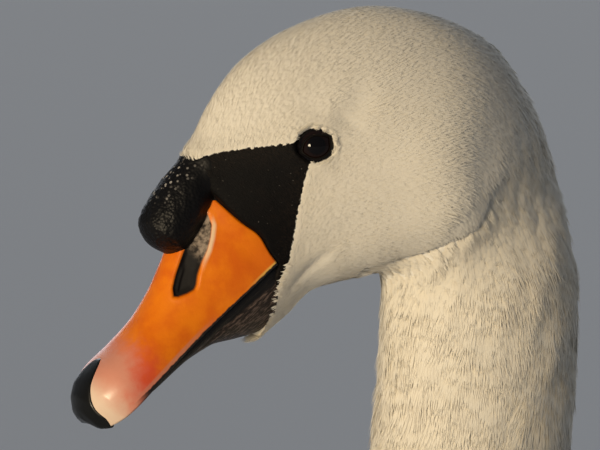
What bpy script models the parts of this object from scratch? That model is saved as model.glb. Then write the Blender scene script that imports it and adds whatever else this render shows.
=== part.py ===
"""Mute swan, a life-size still model that rests on its belly with the feet tucked under.

The bird faces -Y with its left side to +X, +Z is up, and the floor is z = 0. Sizes are in millimetres
and are turned into metres as the meshes are made. Head, neck, trunk and tail are one loft along the
body, parted by thin cuts; the bill, knob, eyes, wings and legs are fitted to it.
"""

import math

import bmesh
import bpy
from mathutils import Vector

MM = 0.001
GAP = 0.4  # between neighbouring pieces
SIDES = 24  # faces round a body section
BODY_PARTS = 2  # rings for each section
BILL_SIDES = 18

# Bill frame: the corner of the mouth, and how steeply the closed bill points down.
GAPE = (-264.5, 639.6)
BILL_PITCH = math.radians(41)

# The loft's sections, from chin to tail tip. Each lies in a plane square to the plane of symmetry,
# between a point on the back line and one on the belly line:
# back y, back z, belly y, belly z, half width, height of the widest place, roundness above, below.
HEAD_SECTIONS = (
    (-293.5, 660, -266, 613.5, 14, 0.45, 2.0, 2.0),
    (-290, 669.5, -257, 620.5, 15.5, 0.43, 1.9, 2.0),
    (-284, 686, -249, 628, 19, 0.43, 1.9, 2.0),
    (-271, 702.5, -241, 631, 23.5, 0.44, 1.9, 2.0),
    (-252, 713.7, -231, 632, 27.5, 0.44, 2.0, 2.0),
    (-228, 719.3, -225, 633, 30, 0.44, 2.0, 2.0),
    (-203, 715.8, -222, 632.7, 31, 0.45, 2.0, 2.0),
    (-182, 705, -220.5, 631.5, 31.3, 0.46, 2.0, 2.0),
    (-167, 684, -219.6, 629, 31, 0.47, 2.0, 2.0),
)
# The cheeks swell over the top of the neck, which starts this much narrower than the head ends.
CHEEK_STEP = 2.5
NECK_UPPER_SECTIONS = (
    (-159.5, 662, -219.2, 625, 28.8, 0.48, 2.0, 2.0),
    (-155.5, 640, -219.2, 618, 28.8, 0.50, 2.0, 2.0),
    (-154, 618, -219.8, 606, 28.8, 0.50, 2.0, 2.0),
    (-155, 592, -221.5, 585, 29, 0.50, 2.0, 2.0),
    (-159, 555, -226, 549, 29.5, 0.50, 2.0, 2.0),
    (-167, 510, -233, 504, 30.5, 0.50, 2.0, 2.0),
)
NECK_MIDDLE_SECTIONS = (
    (-176, 465, -243, 457, 32, 0.50, 2.0, 2.0),
    (-184, 420, -256, 408, 34.5, 0.50, 2.0, 2.0),
    (-189, 380, -271, 359, 39, 0.50, 2.0, 2.0),
)
NECK_LOWER_SECTIONS = (
    (-188, 345, -290, 306, 47, 0.50, 2.0, 2.0),
    (-177, 318, -310, 252, 62, 0.50, 2.0, 2.0),
)
TRUNK_SECTIONS = (
    (-155, 299, -326, 194, 85, 0.50, 2.0, 2.0),
    (-125, 288, -329, 136, 110, 0.50, 2.0, 2.1),
    (-90, 283, -312, 82, 132, 0.49, 2.0, 2.1),
    (-50, 283, -274, 37, 149, 0.48, 2.1, 2.2),
    (-7, 284, -212, 8, 160, 0.47, 2.1, 2.2),
    (40, 282, -137, -6, 166, 0.47, 2.1, 2.2),
    (86, 277, -55, -8, 167, 0.48, 2.1, 2.2),
    (132, 269, 32, -9, 163, 0.50, 2.1, 2.2),
    (178, 258, 112, -7, 153, 0.51, 2.1, 2.2),
    (225, 245, 184, 2, 135, 0.53, 2.1, 2.1),
    (272, 231, 245, 30, 110, 0.55, 2.1, 2.0),
    (314, 218, 297, 74, 86, 0.55, 2.0, 2.0),
    (352, 208, 341, 118, 69, 0.55, 2.0, 2.0),
)
TAIL_SECTIONS = (
    (394, 203, 389, 154, 63, 0.55, 2.0, 2.0),
    (440, 204, 438, 176, 66, 0.55, 2.2, 2.2),
    (488, 208, 487, 192, 58, 0.55, 2.4, 2.4),
    (532, 213, 532, 205, 36, 0.55, 2.4, 2.4),
    (556, 215.5, 556, 212, 10, 0.50, 2.4, 2.4),
)

# Upper bill, along the closed bill from the gape: distance, height, half width, roundness, lowest.
UPPER_BILL = (
    (0, 31.5, 15.8, 1.75, 0.0),
    (8, 29.5, 15.6, 1.75, 0.0),
    (16, 26.5, 15.0, 1.8, 0.0),
    (24, 22.5, 14.4, 1.85, 0.0),
    (33, 18.3, 14.2, 1.95, 0.0),
    (43, 15.0, 14.9, 2.15, 0.0),
    (54, 13.4, 16.0, 2.4, 0.2),
    (63, 12.2, 16.3, 2.5, 0.6),
    (69.5, 10.2, 14.4, 2.5, 1.2),
    (74, 7.2, 10.2, 2.4, 1.8),
    (76.6, 3.6, 4.6, 2.2, 2.4),
)
LOWER_BILL = (  # distance, depth, half width, roundness
    (0.0, 20.5, 14.2, 2.0),
    (9, 18.5, 13.8, 2.0),
    (17, 16, 13.2, 2.0),
    (24, 12, 12.6, 2.1),
    (31, 7.5, 12.2, 2.3),
    (42, 4.5, 12.2, 2.5),
    (56, 3.6, 12.4, 2.5),
    (65, 2.8, 10.6, 2.5),
    (70, 1.6, 6.0, 2.5),
)
CHIN_POINT = (17, -19)  # how far forward and down the chin's feathers reach under the bill
NAIL_CENTRE = 72.0
NAIL_HALF = (7.2, 13.0)  # half width and half length

KNOB_BALL = (-296.2, 653.6, 11.0)  # y, z and radius of its round lower end
KNOB_ROOT = (-286.5, 668.0, 5.8)  # the narrow end that runs up onto the forehead
KNOB_WIDTH = 1.08  # its width over its thickness

EYE = (17.6, -252.3, 677.3)
EYE_RADIUS = 8.0

# Folded wings: y, centre x and z, half width and half height of each wing's outline.
WING_SECTIONS = (
    (-160, 112, 186, 8, 12),
    (-149, 108, 190, 36, 40),
    (-120, 100, 196, 64, 70),
    (-78, 96, 200, 82, 93),
    (-26, 94, 202, 90, 107),
    (30, 93, 203, 91, 111),
    (86, 90, 206, 88, 108),
    (151, 83, 212, 81, 97),
    (216, 71, 220, 69, 80),
    (272, 59, 226, 57, 61),
    (328, 46, 230, 44, 42),
    (384, 32, 232, 30, 25),
    (430, 20, 232, 18, 13),
    (461, 11, 232, 8, 6),
)
WING_SIDES = 18

# Legs: tube through the tucked leg, x, y, z and radius; feet: place of the heel and the webbed fan.
LEG_TUBE = (
    (99, 138, 52, 12.5),
    (99, 160, 38, 11.5),
    (97, 176, 25, 10.5),
    (95, 178, 17.5, 9.0),
    (93, 168, 13.5, 7.6),
    (91, 135, 10.8, 6.4),
    (89, 105, 9.6, 6.2),
    (88, 86, 8.6, 6.6),
)
LEG_SIDES = 12
HEEL = (88, 86)
TOE_LENGTH = (112, 134, 118)  # inner, middle and outer toe
TOE_ANGLES = (-22, 0, 22)
WEB_SAG = 12  # how far the web's edge lies back between the toes
WEB_THICKNESS = 2.6
TOE_THICKNESS = 8.0
FOOT_TURN = 4  # degrees the whole foot turns out
ROOM = 1.0  # clearance round the legs and feet under the trunk


def catmull_rom(rows, parts):
    """Rows of numbers put between the given ones on smooth curves, a count of parts in each interval."""
    padded = [rows[0], *rows, rows[-1]]
    made = []
    for before, start, end, after in zip(padded, padded[1:], padded[2:], padded[3:]):
        for k in range(parts):
            t = k / parts
            made.append(
                [
                    0.5 * (2 * b + (c - a) * t + (2 * a - 5 * b + 4 * c - d) * t * t
                           + (3 * b - a - 3 * c + d) * t ** 3)
                    for a, b, c, d in zip(before, start, end, after)
                ]
            )
    made.append(list(rows[-1]))
    return made


def power(value, exponent):
    return math.copysign(abs(value) ** exponent, value)


def body_ring(section, grow=0.0):
    """The points round one section of the body's loft, starting on the back line."""
    back_y, back_z, belly_y, belly_z, half_width, widest, above, below = section
    back, belly = Vector((0, back_y, back_z)), Vector((0, belly_y, belly_z))
    rise = back - belly
    up = rise.normalized()
    waist = belly + rise * widest
    points = []
    for k in range(SIDES):
        angle = 2 * math.pi * k / SIDES
        c, s = math.cos(angle), math.sin(angle)
        reach = rise.length * (1 - widest if c > 0 else widest) + grow
        roundness = above if c > 0 else below
        side = Vector((1, 0, 0)) * (half_width + grow) * power(s, 2 / roundness)
        points.append(waist + side + up * reach * power(c, 2 / roundness))
    return points


def bill_point(along, height, side=0.0):
    """A point in the bill's frame: along it towards the tip, square to it, and out to the left."""
    c, s = math.cos(BILL_PITCH), math.sin(BILL_PITCH)
    return Vector((side, GAPE[0] - along * c - height * s, GAPE[1] - along * s + height * c))


def upper_bill_ring(section, grow=0.0):
    along, height, half_width, roundness, lowest = section
    half = BILL_SIDES // 2
    points = []
    for k in range(half + 1):
        angle = math.pi * k / half
        side = (half_width + grow) * power(math.cos(angle), 2 / roundness)
        rise = (height + grow) * power(math.sin(angle), 2 / roundness)
        points.append(bill_point(along, rise + GAP / 2 + lowest, side))
    return points


def lower_bill_ring(section):
    along, depth, half_width, roundness = section
    half = BILL_SIDES // 2
    points = []
    for k in range(half + 1):
        angle = math.pi * k / half
        side = half_width * power(math.cos(angle), 2 / roundness)
        drop = depth * power(math.sin(angle), 2 / roundness)
        points.append(bill_point(along, -drop - GAP / 2, side))
    return points


def new_object(name, mesh_maker, material, hidden=False):
    """An object whose mesh, in millimetres, mesh_maker puts into a bmesh."""
    shape = bmesh.new()
    mesh_maker(shape)
    bmesh.ops.scale(shape, vec=Vector((MM, MM, MM)), verts=shape.verts)
    bmesh.ops.recalc_face_normals(shape, faces=shape.faces)
    mesh = bpy.data.meshes.new(name)
    shape.to_mesh(mesh)
    shape.free()
    mesh.shade_smooth()
    obj = bpy.data.objects.new(name, mesh)
    if hidden:
        obj.hide_render = True
        obj.display_type = "WIRE"
    else:
        mesh.materials.append(material)
    (CUTTERS if hidden else SWAN).objects.link(obj)
    return obj


def loft(shape, rings):
    """Bridges rings of as many points each, in triangles laid alike, and closes both ends."""
    rows = [[shape.verts.new(p) for p in ring] for ring in rings]
    for lower, upper in zip(rows, rows[1:]):
        count = len(lower)
        for k in range(count):
            after = (k + 1) % count
            shape.faces.new((lower[k], lower[after], upper[after]))
            shape.faces.new((lower[k], upper[after], upper[k]))
    shape.faces.new(rows[0])
    shape.faces.new(rows[-1])


def part_off(shape, point, normal):
    """Clears what lies behind a plane, given by a point and a normal in y and z, and caps the cut."""
    cut = bmesh.ops.bisect_plane(
        shape,
        geom=shape.verts[:] + shape.edges[:] + shape.faces[:],
        dist=1e-5,
        plane_co=Vector((0, *point)),
        plane_no=Vector((0, *normal)).normalized(),
        clear_inner=True,
    )
    rim = [e for e in cut["geom_cut"] if isinstance(e, bmesh.types.BMEdge)]
    bmesh.ops.edgeloop_fill(shape, edges=rim)


def ring_middle(ring):
    return sum(ring, Vector()) / len(ring)


def set_back(ring, towards):
    """The ring moved half a gap along its plane's normal, to the side of another ring."""
    middle = ring_middle(ring)
    normal = (ring[0] - middle).cross(ring[SIDES // 4] - middle).normalized()
    if normal.dot(ring_middle(towards) - middle) < 0:
        normal = -normal
    return [point + normal * GAP / 2 for point in ring]


def body_rows():
    """Every section of the body on smooth curves, and where each length of it starts and ends."""
    lengths = (
        ("head", HEAD_SECTIONS),
        ("neck_upper", NECK_UPPER_SECTIONS),
        ("neck_middle", NECK_MIDDLE_SECTIONS),
        ("neck_lower", NECK_LOWER_SECTIONS),
        ("trunk", TRUNK_SECTIONS),
        ("tail", TAIL_SECTIONS),
    )
    rows = catmull_rom([section for _, sections in lengths for section in sections], BODY_PARTS)
    spans = {}
    start = 0
    for name, sections in lengths:
        end = start + (len(sections) - (name == "head")) * BODY_PARTS
        spans[name] = (start, end)
        start = end
    return rows, spans


def body_rings(name):
    """The rings of one length of the body; neighbouring lengths share a section, a gap apart."""
    rows, spans = body_rows()
    start, end = spans[name]
    rings = [body_ring(row) for row in rows[start : end + 1]]
    if name == "neck_upper":
        narrow = list(rows[start])
        narrow[4] -= CHEEK_STEP
        rings[0] = body_ring(narrow)
    if start > 0:
        rings[0] = set_back(rings[0], rings[1])
    if end < len(rows) - 1:
        rings[-1] = set_back(rings[-1], rings[-2])
    return rings


def body_piece(name, material, floor=False):
    """One length of the body's loft, cut level with the floor if need be."""

    def make(shape):
        loft(shape, body_rings(name))
        if floor:
            part_off(shape, (0, 0), (0, 1))

    return new_object(name, make, material)


def cut_with(obj, cutter, operation="DIFFERENCE"):
    modifier = obj.modifiers.new(cutter.name, "BOOLEAN")
    modifier.operation = operation
    modifier.solver = "EXACT"
    modifier.object = cutter


def wedge_cutter():
    """What the head leaves to the bill: ahead of the gape, and ahead of the chin's slope below it."""
    reach, wide = 90, 60
    slope = reach / math.hypot(*CHIN_POINT)
    outline = ((0, 0), (0, reach), (reach, reach), (reach, -reach), (CHIN_POINT[0] * slope, CHIN_POINT[1] * slope))

    def make(shape):
        loft(shape, [[bill_point(a, n, x) for a, n in outline] for x in (-wide, wide)])

    return new_object("cutter_bill", make, None, hidden=True)


def ball(name, centre, radius, material, hidden=False, segments=16, rings=10):
    def make(shape):
        bmesh.ops.create_uvsphere(shape, u_segments=segments, v_segments=rings, radius=radius)
        bmesh.ops.rotate(
            shape,
            verts=shape.verts,
            matrix=Vector((0, 0, 1)).rotation_difference(Vector((1, 0, 0))).to_matrix(),
        )
        bmesh.ops.translate(shape, verts=shape.verts, vec=Vector(centre))

    return new_object(name, make, material, hidden)


def make_bill(horn, nail_horn):
    """Upper and lower bill, and the nail, which is parted from the upper bill's tip."""
    rings = [upper_bill_ring(s) for s in catmull_rom(UPPER_BILL, 2)]

    def upper(shape):
        loft(shape, rings)
        bmesh.ops.translate(shape, verts=shape.verts, vec=bill_point(GAP, 0) - bill_point(0, 0))

    def lower(shape):
        loft(shape, [lower_bill_ring(s) for s in catmull_rom(LOWER_BILL, 2)])
        ahead = bill_point(*CHIN_POINT) - bill_point(0, 0)
        normal = Vector((0, ahead.z, -ahead.y))
        if normal.dot(bill_point(1, 0) - bill_point(0, 0)) < 0:
            normal = -normal
        part_off(shape, GAPE, (normal.y, normal.z))

    def nail_plug(grow):
        def make(shape):
            half_width, half_length = NAIL_HALF
            rings = []
            for height in (-20, 30):
                ring = []
                for k in range(BILL_SIDES):
                    angle = 2 * math.pi * k / BILL_SIDES
                    along = NAIL_CENTRE + (half_length + grow) * math.cos(angle)
                    ring.append(bill_point(along, height, (half_width + grow) * math.sin(angle)))
                rings.append(ring)
            loft(shape, rings)

        return make

    upper_bill = new_object("bill_upper", upper, horn)
    nail = new_object("bill_nail", upper, nail_horn)
    new_object("bill_lower", lower, nail_horn)
    cut_with(upper_bill, new_object("cutter_nail_seat", nail_plug(GAP), None, hidden=True))
    cut_with(nail, new_object("cutter_nail", nail_plug(0), None, hidden=True), "INTERSECT")


def make_knob(material):
    """A pear-shaped bulb on the base of the bill, cut to sit on the forehead and the bill."""
    ball_y, ball_z, ball_radius = KNOB_BALL
    root_y, root_z, root_radius = KNOB_ROOT
    start, end = Vector((0, ball_y, ball_z)), Vector((0, root_y, root_z))
    axis = (end - start).normalized()
    across = Vector((0, -axis.z, axis.y))

    def make(shape):
        rings = []
        steps = 14
        for k in range(1, steps):
            angle = math.pi * k / steps
            share = (1 - math.cos(angle)) / 2
            radius = ball_radius + (root_radius - ball_radius) * share
            centre = start.lerp(end, share) - axis * radius * math.cos(angle)
            ring = []
            for j in range(BILL_SIDES):
                turn = 2 * math.pi * j / BILL_SIDES
                out = across * math.cos(turn) + Vector((KNOB_WIDTH, 0, 0)) * math.sin(turn)
                ring.append(centre + out * radius * math.sin(angle))
            rings.append(ring)
        loft(shape, rings)

    knob = new_object("bill_knob", make, material)

    def head_seat(shape):
        rows, spans = body_rows()
        loft(shape, [body_ring(row, GAP) for row in rows[: spans["head"][1]]])

    def bill_seat(shape):
        loft(shape, [upper_bill_ring(s, GAP) for s in catmull_rom(UPPER_BILL, 2)])

    cut_with(knob, new_object("cutter_knob_head", head_seat, None, hidden=True))
    cut_with(knob, new_object("cutter_knob_bill", bill_seat, None, hidden=True))


def make_head(down):
    head = body_piece("head", down)
    cut_with(head, wedge_cutter())
    for side, name in ((1, "left"), (-1, "right")):
        centre = (side * EYE[0], EYE[1], EYE[2])
        ball("eye_" + name, centre, EYE_RADIUS, EYE_MATERIAL)
        cut_with(head, ball("cutter_eye_" + name, centre, EYE_RADIUS + GAP, None, hidden=True))


def make_wings(feather):
    """Each wing is an upright dome along the body, less what the trunk and tail take up."""

    def trunk_seat(shape):
        rows, spans = body_rows()
        loft(shape, [body_ring(row, GAP) for row in rows[spans["neck_lower"][0] :]])

    seat = new_object("cutter_trunk", trunk_seat, None, hidden=True)
    for side, name in ((1, "left"), (-1, "right")):

        def make(shape, side=side):
            rings = []
            for y, x, z, half_width, half_height in catmull_rom(WING_SECTIONS, 2):
                ring = []
                for k in range(WING_SIDES):
                    angle = 2 * math.pi * k / WING_SIDES
                    across = half_width * power(math.cos(angle), 2 / 2.2)
                    rise = half_height * power(math.sin(angle), 2 / 2.2)
                    ring.append(Vector((side * (x + across), y, z + rise)))
                rings.append(ring)
            loft(shape, rings)

        cut_with(new_object("wing_" + name, make, feather), seat)


def tube(shape, points, sides, grow=0.0):
    """A round tube through points of x, y, z and radius, with its ends square to the path."""
    path = [Vector(p[:3]) for p in points]
    rings = []
    for k, point in enumerate(points):
        ahead = (path[min(k + 1, len(path) - 1)] - path[max(k - 1, 0)]).normalized()
        side = ahead.cross(Vector((1, 0, 0))).normalized()
        other = ahead.cross(side)
        ring = []
        for j in range(sides):
            turn = 2 * math.pi * j / sides
            ring.append(path[k] + (side * math.sin(turn) + other * math.cos(turn)) * (point[3] + grow))
        rings.append(ring)
    loft(shape, rings)


def foot_rays(grow=0.0):
    """Upright outlines along rays from the heel, from the inner toe to the outer one."""
    start = 9.0
    angles = []
    for toe in TOE_ANGLES:
        angles += [(toe - 3, 0.35), (toe, 1.0), (toe + 3, 0.35)]
        if toe < TOE_ANGLES[-1]:
            angles += [(toe + 11, 0.0)]
    rays = []
    for angle, share in angles:
        spot = min(max((angle - TOE_ANGLES[0]) / (TOE_ANGLES[-1] - TOE_ANGLES[0]), 0), 1) * 2
        before = int(min(spot, 1))
        reach = TOE_LENGTH[before] + (TOE_LENGTH[before + 1] - TOE_LENGTH[before]) * (spot - before)
        reach -= WEB_SAG * (1 - share)
        top = WEB_THICKNESS + (TOE_THICKNESS - WEB_THICKNESS) * share
        outline = (
            (start - grow, -grow),
            (reach * 0.5, -grow),
            (reach + grow, -grow),
            (reach + grow, 1.2 + grow),
            (reach * 0.93, top * 0.6 + grow),
            (reach * 0.6, top * 0.85 + grow),
            (reach * 0.3, max(top, 7) + grow),
            (start - grow, 11 + grow),
        )
        rays.append((angle, outline))
    return rays


def make_foot(shape, side, grow=0.0):
    rings = []
    rays = foot_rays(grow)
    for k, (angle, outline) in enumerate(rays):
        turn = math.radians(angle + FOOT_TURN)
        aside = grow * (-1 if k == 0 else 1 if k == len(rays) - 1 else 0)
        ring = []
        for reach, height in outline:
            x = HEEL[0] + aside + reach * math.sin(turn)
            y = HEEL[1] + 7.4 - reach * math.cos(turn)
            ring.append(Vector((side * x, y, height)))
        rings.append(ring)
    loft(shape, rings)


def make_legs(trunk, skin):
    """Tucked legs and webbed feet beside the belly, with room cut for them under the trunk."""
    for side, name in ((1, "left"), (-1, "right")):
        points = [(side * x, y, z, radius) for x, y, z, radius in LEG_TUBE]
        new_object("leg_" + name, lambda shape, p=points: tube(shape, p, LEG_SIDES), skin)
        new_object("foot_" + name, lambda shape, k=side: make_foot(shape, k), skin)
        room = new_object(
            "cutter_leg_" + name,
            lambda shape, p=points: tube(shape, p, LEG_SIDES, ROOM),
            None,
            hidden=True,
        )
        cut_with(trunk, room)
        room = new_object(
            "cutter_foot_" + name,
            lambda shape, k=side: make_foot(shape, k, ROOM),
            None,
            hidden=True,
        )
        cut_with(trunk, room)


def plain_material(name, colour, roughness):
    material = bpy.data.materials.new(name)
    material.use_nodes = True
    shader = material.node_tree.nodes["Principled BSDF"]
    shader.inputs["Base Color"].default_value = (*colour, 1)
    shader.inputs["Roughness"].default_value = roughness
    return material


for old in list(bpy.data.objects):
    bpy.data.objects.remove(old)
SWAN = bpy.data.collections.new("mute_swan")
CUTTERS = bpy.data.collections.new("cutters")
for collection in (SWAN, CUTTERS):
    bpy.context.scene.collection.children.link(collection)

DOWN = plain_material("down", (0.86, 0.83, 0.76), 0.85)
FEATHER = plain_material("feather", (0.90, 0.89, 0.86), 0.7)
ORANGE_HORN = plain_material("orange_horn", (0.80, 0.25, 0.02), 0.35)
BLACK_HORN = plain_material("black_horn", (0.02, 0.02, 0.02), 0.4)
BLACK_SKIN = plain_material("black_skin", (0.02, 0.02, 0.02), 0.6)
EYE_MATERIAL = plain_material("eye", (0.02, 0.012, 0.01), 0.05)

make_bill(ORANGE_HORN, BLACK_HORN)
make_knob(BLACK_SKIN)
make_head(DOWN)
body_piece("neck_upper", DOWN)
body_piece("neck_middle", DOWN)
body_piece("neck_lower", DOWN)
make_legs(body_piece("trunk", FEATHER, floor=True), BLACK_SKIN)
body_piece("tail", FEATHER)
make_wings(FEATHER)
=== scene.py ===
"""The looks of the mute swan: skin, bill, eyes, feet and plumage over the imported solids."""

import math

import bmesh
import bpy
import numpy as np
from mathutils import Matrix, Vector
from mathutils.bvhtree import BVHTree
from mathutils.kdtree import KDTree


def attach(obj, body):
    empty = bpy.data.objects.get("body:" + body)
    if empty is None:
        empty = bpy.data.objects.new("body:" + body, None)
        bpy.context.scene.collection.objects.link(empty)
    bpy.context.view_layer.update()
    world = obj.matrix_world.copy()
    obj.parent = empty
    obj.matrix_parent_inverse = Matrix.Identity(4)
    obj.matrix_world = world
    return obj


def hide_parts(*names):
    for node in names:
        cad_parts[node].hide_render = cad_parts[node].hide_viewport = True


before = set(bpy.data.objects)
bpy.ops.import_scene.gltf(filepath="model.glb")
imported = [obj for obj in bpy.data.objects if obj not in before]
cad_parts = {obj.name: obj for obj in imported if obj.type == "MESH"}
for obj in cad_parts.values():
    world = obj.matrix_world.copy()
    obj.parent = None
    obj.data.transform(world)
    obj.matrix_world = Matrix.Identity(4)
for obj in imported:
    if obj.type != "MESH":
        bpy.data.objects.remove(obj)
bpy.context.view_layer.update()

MM = 0.001  # all shapes below are in millimetres

# Sections of the body from chin to tail tip: back y, back z, belly y, belly z, half width, height of
# the widest place, roundness above, roundness below.
SECTIONS = (
    (-293.5, 660, -266, 613.5, 14, 0.45, 1.75, 2.0),
    (-290, 669.5, -257, 620.5, 15.5, 0.43, 1.72, 2.0),
    (-283.6, 686, -249, 628, 19, 0.43, 1.74, 2.0),
    (-270.8, 702.5, -241, 631, 23.5, 0.44, 1.84, 2.0),
    (-252, 713.7, -231, 632, 27.5, 0.44, 1.82, 2.0),
    (-228, 719.3, -225, 633, 30, 0.44, 1.76, 2.0),
    (-203, 715.8, -222, 632.7, 31, 0.45, 1.8, 2.0),
    (-182, 705, -220.5, 631.5, 31.3, 0.46, 1.9, 2.0),
    (-167, 684, -219.6, 629, 31, 0.47, 2.0, 2.0),
    (-159.5, 662, -219.2, 625, 28.8, 0.48, 2.0, 2.0),
    (-155.5, 640, -219.2, 618, 28.8, 0.50, 2.0, 2.0),
    (-154, 618, -219.8, 606, 28.8, 0.50, 2.0, 2.0),
    (-155, 592, -221.5, 585, 29, 0.50, 2.0, 2.0),
    (-159, 555, -226, 549, 29.5, 0.50, 2.0, 2.0),
    (-167, 510, -233, 504, 30.5, 0.50, 2.0, 2.0),
    (-176, 465, -243, 457, 32, 0.50, 2.0, 2.0),
    (-184, 420, -256, 408, 34.5, 0.50, 2.0, 2.0),
    (-189, 380, -271, 359, 39, 0.50, 2.0, 2.0),
    (-188, 345, -290, 306, 47, 0.50, 2.0, 2.0),
    (-177, 318, -310, 252, 62, 0.50, 2.0, 2.0),
    (-155, 299, -326, 194, 85, 0.50, 2.0, 2.0),
    (-125, 288, -329, 136, 110, 0.50, 2.0, 2.1),
    (-90, 283, -312, 82, 132, 0.49, 2.0, 2.1),
    (-50, 283, -274, 37, 149, 0.48, 2.1, 2.2),
    (-7, 284, -212, 8, 160, 0.47, 2.1, 2.2),
    (40, 282, -137, -6, 166, 0.47, 2.1, 2.2),
    (86, 277, -55, -8, 167, 0.48, 2.1, 2.2),
    (132, 269, 32, -9, 163, 0.50, 2.1, 2.2),
    (178, 258, 112, -7, 153, 0.51, 2.1, 2.2),
    (225, 245, 184, 2, 135, 0.53, 2.1, 2.1),
    (272, 231, 245, 30, 110, 0.55, 2.1, 2.0),
    (314, 218, 297, 74, 86, 0.55, 2.0, 2.0),
    (352, 208, 341, 118, 69, 0.55, 2.0, 2.0),
    (394, 203, 389, 154, 63, 0.55, 2.0, 2.0),
    (440, 204, 438, 176, 66, 0.55, 2.2, 2.2),
    (488, 208, 487, 192, 58, 0.55, 2.4, 2.4),
    (532, 213, 532, 205, 36, 0.55, 2.4, 2.4),
    (556, 215.5, 556, 212, 10, 0.50, 2.4, 2.4),
)
NECK_END, TRUNK_START, TAIL_START = 14, 20, 33  # places along the sections

GAPE = (-264.5, 639.6)  # y and z of the corner of the mouth
BILL_PITCH = math.radians(41)
JAW_RUN, JAW_DROP, JAW_EDGE = 17, 19, 25.5  # how far the jaw's rear edge runs ahead, down and along
BILL_TOP, JAW_BELOW = 1.62 * np.pi, 1.5 * np.pi  # the turn round each half of the bill that shows
HORN_BACK = (11, 5)  # how high above the bill's edge the horn reaches furthest back, and how broadly
# Along the bill from the gape: height, half width, roundness, how far the edge is lifted.
UPPER_BILL = (
    (0, 31.5, 15.8, 1.75, 0.0), (8, 29.5, 15.6, 1.75, 0.0), (16, 26.5, 15.0, 1.8, 0.0),
    (24, 22.5, 14.4, 1.85, 0.0), (33, 18.3, 14.2, 1.95, 0.0), (43, 15.0, 14.9, 2.15, 0.0),
    (54, 14.0, 16.0, 2.4, -0.3), (63, 14.5, 16.2, 2.5, -0.8), (69.5, 13.9, 14.4, 2.4, -1.2),
    (74, 11.4, 11.0, 2.3, -1.0), (76.6, 7.2, 7.4, 2.2, 0.2), (77.7, 1.6, 2.4, 2.0, 3.6),
)
# Along the lower bill: depth, half width, roundness.
LOWER_BILL = (
    (0.0, 20.5, 14.2, 2.0), (9, 18.5, 13.8, 2.0), (17, 16, 13.2, 2.0), (24, 12, 12.6, 2.1),
    (31, 7.5, 12.2, 2.3), (42, 4.5, 12.2, 2.5), (56, 3.6, 12.4, 2.5), (65, 2.8, 10.6, 2.5),
    (70, 1.6, 6.0, 2.5),
)
# The edge of the nostril's hollow, seen from the side: along the bill and up.
NOSTRIL = (
    (4.8, 25.8), (6.6, 22.7), (9.8, 20.3), (13.3, 18.3), (17.1, 16.7), (21.0, 14.4), (23.6, 12.5),
    (25.0, 11.9), (27.4, 12.4), (30.2, 13.4), (31.2, 14.4), (29.3, 16.4), (25.9, 18.4),
    (22.3, 20.2), (18.0, 22.4), (13.0, 24.6), (8.0, 26.8),
)
# Across the nail: angle round the tip in degrees, from the ridge down; half width; how far it hooks.
NAIL_HEART = (66.0, 5.5)
NAIL = (
    (127, 0.3, 0), (118, 2.9, 0), (106, 5.0, 0), (88, 6.9, 0), (66, 8.5, 0), (44, 9.8, 0),
    (22, 11.0, 0), (0, 12.4, 0), (-14, 13.6, 0.1), (-26, 14.0, 0.5), (-36, 12.9, 0.9),
    (-42, 10.4, 1.1), (-44, 7.0, 1.2),
)
# The knob is a ball drawn out to a root: y, z and radius of each.
KNOB_BALL, KNOB_ROOT = (-295.1, 653.2, 10.0), (-284.2, 670.6, 6.3)
KNOB_WIDTH = 1.1  # to its height
SADDLE_SIZE, SADDLE_MOST, SADDLE_GAP = 2.4, 3.2, 0.02  # of the swelling that joins knob and forehead
BILL_FILLET = 0.8

EYE, EYE_RADIUS = (17.6, -252.7, 677.1), 8.0
EYE_FRONT = (-255.4, 677.5)  # y and z of the middle of the eye's opening
EYE_OPENING = (4.25, 3.45)  # half its length and half its height
BROW, MOUTH_FOLD = (-250, 680), (-257, 632)  # y and z where the two furrows of the head begin

# The bare black skin before the eye, seen from the side: y and z round its edge.
BARE_EDGE = (
    (-300, 668.5), (-292, 671.2), (-289, 672.4), (-287, 674.0), (-282.9, 675.6), (-274, 677),
    (-262, 678.9), (-258.5, 680.5), (-254, 679), (-254.5, 675), (-257, 671.8), (-258.8, 663.6),
    (-259.9, 655.6), (-260.3, 649), (-260.8, 641), (-262.5, 636), (-263.8, 631), (-264.5, 622),
    (-267, 611), (-300, 600),
)
# Where the cheek's edge hangs over the neck, seen from the side: y and z, then round the neck's side.
CREASE_EDGE = (
    (-234, 634.5), (-226.2, 636.6), (-221.6, 638.6), (-217.4, 640.8), (-213.8, 643.4),
    (-209.5, 646.0), (-205.2, 648.2), (-201.2, 650.6), (-198.6, 653.6), (-196.8, 657.2),
    (-195.6, 661.2), (-193.6, 665.2), (-189.6, 669.4), (-184.6, 672.8), (-178.5, 676.5),
    (-130, 690), (-130, 560), (-234, 560),
)

WING_ROUNDNESS, WING_REAR = 2.2, 400  # behind y = 400 only the quills are left
# The dome of a folded wing: y, x and z of its middle, half width, half height.
WINGS = np.array((
    (-160, 112, 186, 8, 12), (-149, 108, 190, 36, 40), (-120, 100, 196, 64, 70),
    (-78, 96, 200, 82, 93), (-26, 94, 202, 90, 107), (30, 93, 203, 91, 111), (86, 90, 206, 88, 108),
    (151, 83, 212, 81, 97), (216, 71, 220, 69, 80), (272, 59, 226, 57, 61), (328, 46, 230, 44, 42),
    (384, 32, 232, 30, 25), (430, 20, 232, 18, 13), (461, 11, 232, 8, 6),
), float)
# Tracts of coverts: first and last y of the roots, length, width, distance between rows, height.
WING_TRACTS = {
    "lesser_coverts": (-172, -28, 34, 24, 9, 0.3),
    "median_coverts": (-30, 62, 54, 30, 13, 0.3),
    "greater_coverts": (58, 138, 96, 36, 22, 1.0),
}
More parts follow.
